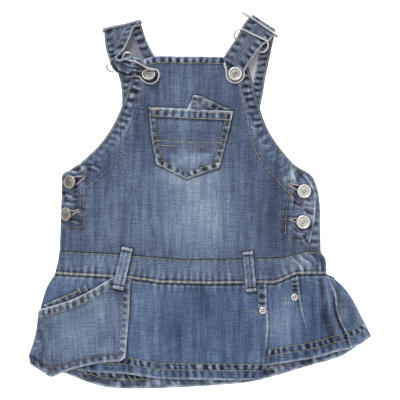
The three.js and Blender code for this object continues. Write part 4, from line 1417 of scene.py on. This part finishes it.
def note(mesh, name, values):
    """Writes one number, or one vector, at each point for the materials to read."""
    kind, field = ("FLOAT", "value") if values.ndim == 1 else ("FLOAT_VECTOR", "vector")
    mesh.attributes.new(name, kind, "POINT").data.foreach_set(field, values.astype(np.float32).ravel())


def place(name, mesh, node=None, slot=None):
    """Puts a piece on the dress, in place of the frame's own node if there is one."""
    piece = add(name, mesh)
    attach(piece, "root")
    if node:
        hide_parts(node)
    return piece


# %% From cloths to pieces
def shell(cloth, name, right, wrong):
    """The mesh of a cloth, with everything on it that the materials read."""
    points, ring = shell_points(cloth)
    faces, one_side = shell_faces(*cloth.x.shape, ring)
    mesh = mesh_from(name, points, faces)
    side = np.zeros(len(faces), np.int32)
    side[one_side:2 * one_side] = 1
    mesh.polygons.foreach_set("material_index", side)
    for value in ("fade", "rope", "wear", "turned"):
        flat = getattr(cloth, value).ravel()
        note(mesh, value, np.concatenate([flat, flat, flat[ring]]))
    grain = np.pad(cloth.grain.reshape(-1, 2) * MM, ((0, 0), (0, 1)))
    note(mesh, "grain", np.concatenate([grain, grain, grain[ring]]))
    mesh.materials.append(right)
    mesh.materials.append(wrong)
    return mesh


def finish_cloth(cloth, slot, inside_up=False):
    """Makes the piece and puts it in the frame."""
    name = cloth.node.removeprefix("front_") + "_cloth"
    right = SKIRT_DENIM if cloth is skirt else DENIM[slot]
    mesh = shell(cloth, name, *((WRONG, right) if inside_up else (right, WRONG)))
    cloth.piece = place(name, mesh, cloth.node, slot)
    cloth.area() * MM ** 2


for cloth in (back_bodice, back_waistband, back_skirt):
    finish_cloth(cloth, "denim_dark", inside_up=True)
finish_cloth(bodice, "denim")
finish_cloth(waistband, "denim_faded")
finish_cloth(skirt, "denim")
finish_cloth(facing, "denim_dark")
finish_cloth(tab, "denim_faded")
finish_cloth(hip, "denim_faded")
finish_cloth(insert, "denim_dark")
finish_cloth(bib, "denim_faded")
for cloth in loops:
    finish_cloth(cloth, "denim_faded")
for cloth in (left_strap, right_strap):
    finish_cloth(cloth, "denim_dark")

# %% [markdown]
# ## Sewing
# Every row is walked at the stitch length, and each stitch is dropped straight down on its own piece.
# Stitches that land on a hidden layer of a pleat are left out. All stitches of one thread are one mesh.

# %% Sewing
DROP = 1.9 * MM                  # a stitch falls from this far above its row
SKY = 40 * MM                    # and from here if the row was drawn in plan only
COVER = 0.7 * MM                 # cloth of the same piece this far above a stitch hides it
SHORT = 1.6                      # a row shorter than so many stitches is one stitch of a bartack or a hole
DOWN = Vector((0, 0, -1))
threads = {thread: [] for thread in THREAD_SHADES}


def drop(tree, x, y, z):
    """The place on the cloth straight below (x, y, z), if nothing of the same piece covers it."""
    at, _, _, _ = tree.ray_cast(Vector((x, y, z)), DOWN)
    if at is None:
        return None
    top, _, _, _ = tree.ray_cast(Vector((x, y, SKY)), DOWN)
    return at if top.z - at.z < COVER else None


def sew_down(cloth):
    """Drops every stitch of a piece, and keeps both its ends with the others of its thread."""
    mesh = cloth.piece.data
    tree = BVHTree.FromPolygons([v.co for v in mesh.vertices], [p.vertices for p in mesh.polygons])
    for path, thread in cloth.rows:
        run = run_of(path)
        bar = run[-1] < SHORT * STITCH
        count = 1 if bar else int(run[-1] / (STITCH + STITCH_GAP))
        length = run[-1] if bar else STITCH
        has_height = path[:, 2].any()
        for middle in (np.arange(count) + 0.5) * run[-1] / count:
            ends = []
            for at in (middle - length / 2, middle + length / 2):
                x, y, z = (np.interp(at, run, path[:, k]) * MM for k in range(3))
                ends.append(drop(tree, x, y, z + DROP if has_height else SKY))
            if all(ends):
                threads[thread].append([[*end] for end in ends])


for cloth in cloths.values():
    sew_down(cloth)
print("stitches:", {thread: len(ends) for thread, ends in threads.items()})

# %% Thread
# each ring of a stitch: (place along it, size and height in radii of the thread)
STITCH_RINGS = ((0.0, 0.5, -0.7), (0.12, 0.9, 0.05), (0.5, 1.0, 0.45), (0.88, 0.9, 0.05), (1.0, 0.5, -0.7))
THREAD_SIDES = 6


def round_about(side, other, count):
    """So many directions round a circle, from one way across it towards another."""
    turn = 2 * np.pi * np.arange(count) / count
    return side[..., None, :] * np.cos(turn)[:, None] + other[..., None, :] * np.sin(turn)[:, None]


def tube_walls(at):
    """The four-sided faces between rings of points that are numbered as at[..., ring, point]."""
    after = np.roll(at, -1, axis=-1)
    faces = [at[..., :-1, :], after[..., :-1, :], after[..., 1:, :], at[..., 1:, :]]
    return np.stack(faces, axis=-1).reshape(-1, 4)


def thread_mesh(name, ends):
    """Bent capsules, one from each stitch's start to its end."""
    ends = np.array(ends) / MM
    start, end = ends[:, 0], ends[:, 1]
    ahead = end - start
    across = unit(np.cross(ahead, [0, 0, 1]))
    up = unit(np.cross(across, ahead))
    ring = round_about(across, up, THREAD_SIDES)
    rings = [(start + ahead * along + up * height * THREAD)[:, None] + size * THREAD * ring
             for along, size, height in STITCH_RINGS]
    points = np.stack(rings, axis=1)
    stitches, count = len(points), len(STITCH_RINGS)
    at = np.arange(stitches * count * THREAD_SIDES).reshape(stitches, count, THREAD_SIDES)
    first, last = at[:, 0], at[:, -1]
    caps = [last[:, [0, 1, 2, 3]], last[:, [3, 4, 5, 0]], first[:, [3, 2, 1, 0]], first[:, [0, 5, 4, 3]]]
    mesh = mesh_from(name, points.reshape(-1, 3), np.concatenate([tube_walls(at), *caps]))
    shade = np.random.default_rng(7).uniform(0, 1, stitches)
    note(mesh, "shade", np.repeat(shade, count * THREAD_SIDES))
    return mesh


def thread_material(name, dark, bright):
    """Thread whose stitches each have a shade of their own."""
    material, tree, shader = new_material(name, Roughness=0.65, Specular_IOR_Level=0.3)
    shades = dye(dark, bright, steps=(0.0, 1.0))
    put(ramp_node(tree, attribute(tree, "shade"), shades), shader.inputs["Base Color"])
    return material


for thread, ends in threads.items():
    mesh = thread_mesh("stitches_" + thread, ends)
    mesh.materials.append(thread_material("thread_" + thread, *THREAD_SHADES[thread]))
    place("stitches_" + thread, mesh)
    print(f"{thread} thread: {2 * len(mesh.polygons)} triangles")

# %% [markdown]
# ## Buttons and rivets
# Stamped caps of plated brass: a rim, a hollow with plain rings, and a boss. The plating has rubbed off
# in the hollow, where brown patina sits. Each is turned on a lathe profile about its node's own axis.

# %% Metal
def metal_group():
    """Plated metal: bright where rubbed, brown and dull where grime stays and where shade is painted."""
    group, given, out = new_group(
        "worn plating", [("Place", "vector", None), ("Dirt", "value", 0.0), ("Bright", "colour", None),
                         ("Dull", "colour", None)],
        [("Colour", "colour"), ("Roughness", "value"), ("Height", "value")])
    spots = noise_node(group, given["Place"], (900, 900, 900), 4, 0.6)
    scratch = noise_node(group, given["Place"], (300, 2600, 900), 2)
    # on a wire this also holds the shade painted on its sides
    grime = add_share(group, given["Dirt"], spots, 0.7, clamp=True)
    put(mix_node(group, grime, given["Bright"], given["Dull"]), out["Colour"])
    rough = math_node(group, "MULTIPLY_ADD", grime, 0.35, 0.22)
    put(add_share(group, rough, scratch, 0.15), out["Roughness"])
    put(scratch, out["Height"])
    return group


PLATING = metal_group()


def metal(name, bright, dull, metallic=0.5):
    """Worn plating between two colours. The mesh carries where grime stays and where shade is painted."""
    material, tree, shader = new_material(name, Metallic=metallic)
    where = tree.nodes.new("ShaderNodeTexCoord").outputs["Object"]
    plating = place_group(tree, PLATING, Place=where, Dirt=attribute(tree, "dirt"),
                          Bright=(*linear(*bright), 1), Dull=(*linear(*dull), 1))
    put(plating["Colour"], shader.inputs["Base Color"])
    put(plating["Roughness"], shader.inputs["Roughness"])
    bump_node(tree, plating["Height"], 0.2, 0.1, shader)
    return material


BUTTON_METAL = metal("button_metal", (248, 246, 244), (90, 84, 74))
RIVET_METAL = metal("rivet_metal", (255, 254, 250), (34, 32, 32))
WIRE_METAL = metal("wire", (226, 226, 230), (60, 56, 48), 0.35)
print("metals:", BUTTON_METAL.name, RIVET_METAL.name, WIRE_METAL.name)

# %% Buttons and rivets
LATHE_STEPS = 48
TIP = 0.004                      # a face starts as a tiny ring, this share of the radius
# each ring of a face: (share of the radius, height in mm below the top, how dark: patina in the hollows,
# darkest under the rim)
BUTTON_FACE = (
    (0.0, -0.35, 0.5), (0.13, -0.4, 0.7), (0.2, -0.75, 1.3), (0.26, -0.95, 1.3), (0.31, -0.6, 0.6),
    (0.38, -0.55, 0.25), (0.44, -0.95, 0.95), (0.52, -1.0, 0.6), (0.6, -0.95, 0.35), (0.68, -1.0, 0.95),
    (0.74, -0.6, 0.5), (0.79, -0.15, 0.1), (0.86, 0.0, 0.0), (0.93, -0.12, 0.05), (0.98, -0.5, 0.15),
    (1.0, -0.95, 0.3), (0.985, -1.4, 0.5), (0.93, -1.9, 0.8), (0.82, -2.25, 1.0), (0.4, -2.35, 1.0),
)
RIVET_FACE = (
    (0.0, 0.0, 0.0), (0.2, -0.05, 0.0), (0.26, -0.4, 0.8), (0.32, -0.8, 1.0), (0.5, -0.85, 1.0),
    (0.56, -0.45, 0.7), (0.63, -0.2, 0.0), (0.8, -0.25, 0.0), (0.92, -0.5, 0.1), (1.0, -0.85, 0.6),
    (0.99, -1.3, 1.0),
)


def disc_place(node):
    """Centre, axis, radius, foot and top of a round node, from its own points."""
    points = np.array([vertex.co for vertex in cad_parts[node].data.vertices]) / MM
    points = np.unique(points.round(4), axis=0)
    centre = points.mean(axis=0)
    _, axes = np.linalg.eigh(np.cov((points - centre).T))
    axis = axes[:, 0] * np.sign(axes[2, 0])
    along = (points - centre) @ axis
    out = np.linalg.norm(points - centre - along[:, None] * axis, axis=1)
    return centre, axis, out.max(), along.min(), along.max()


def turned_disc(node, face, foot, material, slot, seed, grime=(0.0, 0.0)):
    """A lathe-turned cap on the node's axis, with a neck down to the node's foot."""
    centre, axis, radius, low, high = disc_place(node)
    side = unit(np.cross(axis, [0, 1, 0]))
    rounds = round_about(side, np.cross(axis, side), LATHE_STEPS)
    profile = [(max(share, TIP) * radius, high + below, dirt) for share, below, dirt in face]
    profile += [(foot * radius, low + 0.3, 1.0), (foot * radius, low, 1.0), (TIP * radius, low, 1.0)]
    points = np.concatenate([centre + axis * height + rounds * out for out, height, _ in profile])
    at = np.arange(len(points)).reshape(-1, LATHE_STEPS)
    mesh = mesh_from(node + "_turned", points, tube_walls(at)[:, [0, 3, 2, 1]])
    uneven = noise(points[:, 0], points[:, 1], seed, 4)
    dirt = np.repeat([d for _, _, d in profile], LATHE_STEPS)
    more, evenness = grime
    note(mesh, "dirt", np.clip(dirt * 0.85 * (1 - evenness) + 0.2 * uneven + more, 0, 1))
    mesh.materials.append(material)
    place(node + "_turned", mesh, node, slot)


# what is added to the dirt of a button's face, and how evenly it lies: 0 in the hollows, 1 all over
USUAL_GRIME = (-0.18, 0.0)
GRIME = {
    "bib_button_left": (0.34, 0.0), "bib_button_right": (0.0, 0.0),
    "side_button_left_upper": (0.66, 0.7), "side_button_left_lower": (0.6, 0.6),
}
buttons = [node for node in sorted(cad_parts) if "_button_" in node]
rivets = [node for node in sorted(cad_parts) if "_rivet_" in node]
for number, node in enumerate(buttons):
    grime = GRIME.get(node, USUAL_GRIME)
    turned_disc(node, BUTTON_FACE, 0.32, BUTTON_METAL, "button_metal", 200 + number, grime)
for number, node in enumerate(rivets):
    turned_disc(node, RIVET_FACE, 0.9, RIVET_METAL, "rivet_metal", 220 + number)
print("buttons and rivets:", len(buttons), len(rivets))

# %% [markdown]
# ## Bent wire
# The slides, keepers and clasps are bent from plated wire. The frame has each as a tube with seven flat
# sides, and the middle of each ring of seven points gives its line back. A round tube of twelve sides is
# swept along that line in short steps. A subdivision surface over the frame's tube would shrink its two
# ends, and on the slides, where one end meets the other, that leaves a gap in the bar. Shade is painted
# on the sides of a wire, and grime stays in its bends, where nothing rubs.

# %% The lines of the wires
FRAME_SIDES = 7                  # the frame's tubes have so many flat sides


def end_ring(face):
    """The corners of the flat end that a face is part of, or nothing if it is part of a side."""
    flat, waiting = {face}, [face]
    while waiting:
        for edge in waiting.pop().edges:
            for other in edge.link_faces:
                if other not in flat and other.normal.dot(face.normal) > 0.9999:
                    flat.add(other)
                    waiting.append(other)
    corners = {vert for part in flat for vert in part.verts}
    spread = max((a.co - b.co).length for a in corners for b in corners)
    return corners if len(corners) == FRAME_SIDES and spread < 2 * MM else None


def wire_line(node):
    """The middle line of a bent wire, in millimetres, from its flat-sided tube in the frame."""
    bm = welded(node)
    ring = next(ring for ring in (end_ring(face) for face in bm.faces) if ring)
    seen, middles = set(ring), []
    while ring:
        middles.append(np.mean([vert.co for vert in ring], axis=0) / MM)
        ring = {edge.other_vert(vert) for vert in ring for edge in vert.link_edges} - seen
        seen |= ring
    bm.free()
    return np.array(middles)


# %% Round wires
WIRE_SIDES = 12
WIRE_STEP = 0.8
OPEN_END = 0.75                  # a free end is rounded down to this share of its width
BEND_REACH = 3                   # a bend is felt over so many steps to each side


def directions(middle):
    """At each point of a line: the way ahead, and two ways across that turn as little as they can."""
    ahead = unit(np.gradient(middle, axis=0))
    side = np.cross(ahead[0], [0.0, 0.0, 1.0])
    sides = []
    for direction in ahead:
        side = side - direction * (side @ direction)
        side /= np.linalg.norm(side)
        sides.append(side)
    sides = np.array(sides)
    return ahead, sides, np.cross(sides, ahead)


def wire_dirt(points, around, ahead, seed):
    """Painted shade on the sides and grime in the bends, from 0 to 1, unevenly."""
    # painted shade where the wire's surface faces sideways
    sideways = soft(0.8, 0.2, around[..., 2])
    bend = np.linalg.norm(np.roll(ahead, -BEND_REACH, axis=0) - np.roll(ahead, BEND_REACH, axis=0), axis=1)
    bend[:BEND_REACH] = bend[-BEND_REACH:] = 0
    patchy = 0.4 * noise(points[:, 0] + points[:, 2], points[:, 1], seed, 9)
    return np.clip((0.75 * sideways + 0.5 * soft(0.9, 1.5, bend)[:, None]).ravel() + patchy, 0, 1)


def round_wire(node, seed, radius, reach):
    """A round wire along the node's line, each end longer by `reach`, which closes a ring."""
    middle = wire_line(node)
    for end, inner in ((0, 1), (-1, -2)):
        out = middle[end] - middle[inner]
        middle[end] += reach * out / np.linalg.norm(out)
    middle = evenly(smooth_through(middle, fine_places(middle[:, None], WIRE_STEP)), WIRE_STEP)
    ahead, sides, ups = directions(middle)
    size = np.full(len(middle), radius)
    size[[0, -1]] *= 1.0 if reach else OPEN_END
    around = round_about(sides, ups, WIRE_SIDES)
    points = (middle[:, None] + size[:, None, None] * around).reshape(-1, 3)
    points[:, 2] = np.maximum(points[:, 2], 0.0)
    at = np.arange(len(points)).reshape(-1, WIRE_SIDES)
    half = np.arange(0, WIRE_SIDES - 2, 2)
    caps = np.stack([0 * half, half + 1, half + 2, (half + 3) % WIRE_SIDES], axis=1)
    faces = np.concatenate([tube_walls(at), caps[:, ::-1], caps + at[-1, 0]])
    mesh = mesh_from(node + "_round", points, faces)
    note(mesh, "dirt", wire_dirt(points, around, ahead, seed))
    mesh.materials.append(WIRE_METAL)
    place(node + "_round", mesh, node, "wire")
    gap = np.linalg.norm(middle[0] - middle[-1])
    print(f"{node}: {run_of(middle)[-1]:.0f} mm of wire, ends {gap:.1f} mm apart")


for number, (node, radius, reach) in enumerate((
    ("slide_left", 1.15, 0.65), ("slide_right", 1.05, 0.7), ("keeper_left", 0.95, 0.0),
    ("keeper_right", 0.95, 0.8), ("clasp_left", 1.0, 0.0), ("clasp_right", 1.35, 0.0),
)):
    round_wire(node, 240 + number, radius, reach)

# %% [markdown]
# ## Sizes
# The frame's own box and the finished dress's box stand side by side. The finished dress is a fraction
# of a millimetre wider, mostly by its rounded rims.

# %% Sizes and finish
{"cad": CAD_BOX, "visual": [list(corner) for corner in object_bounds()]}
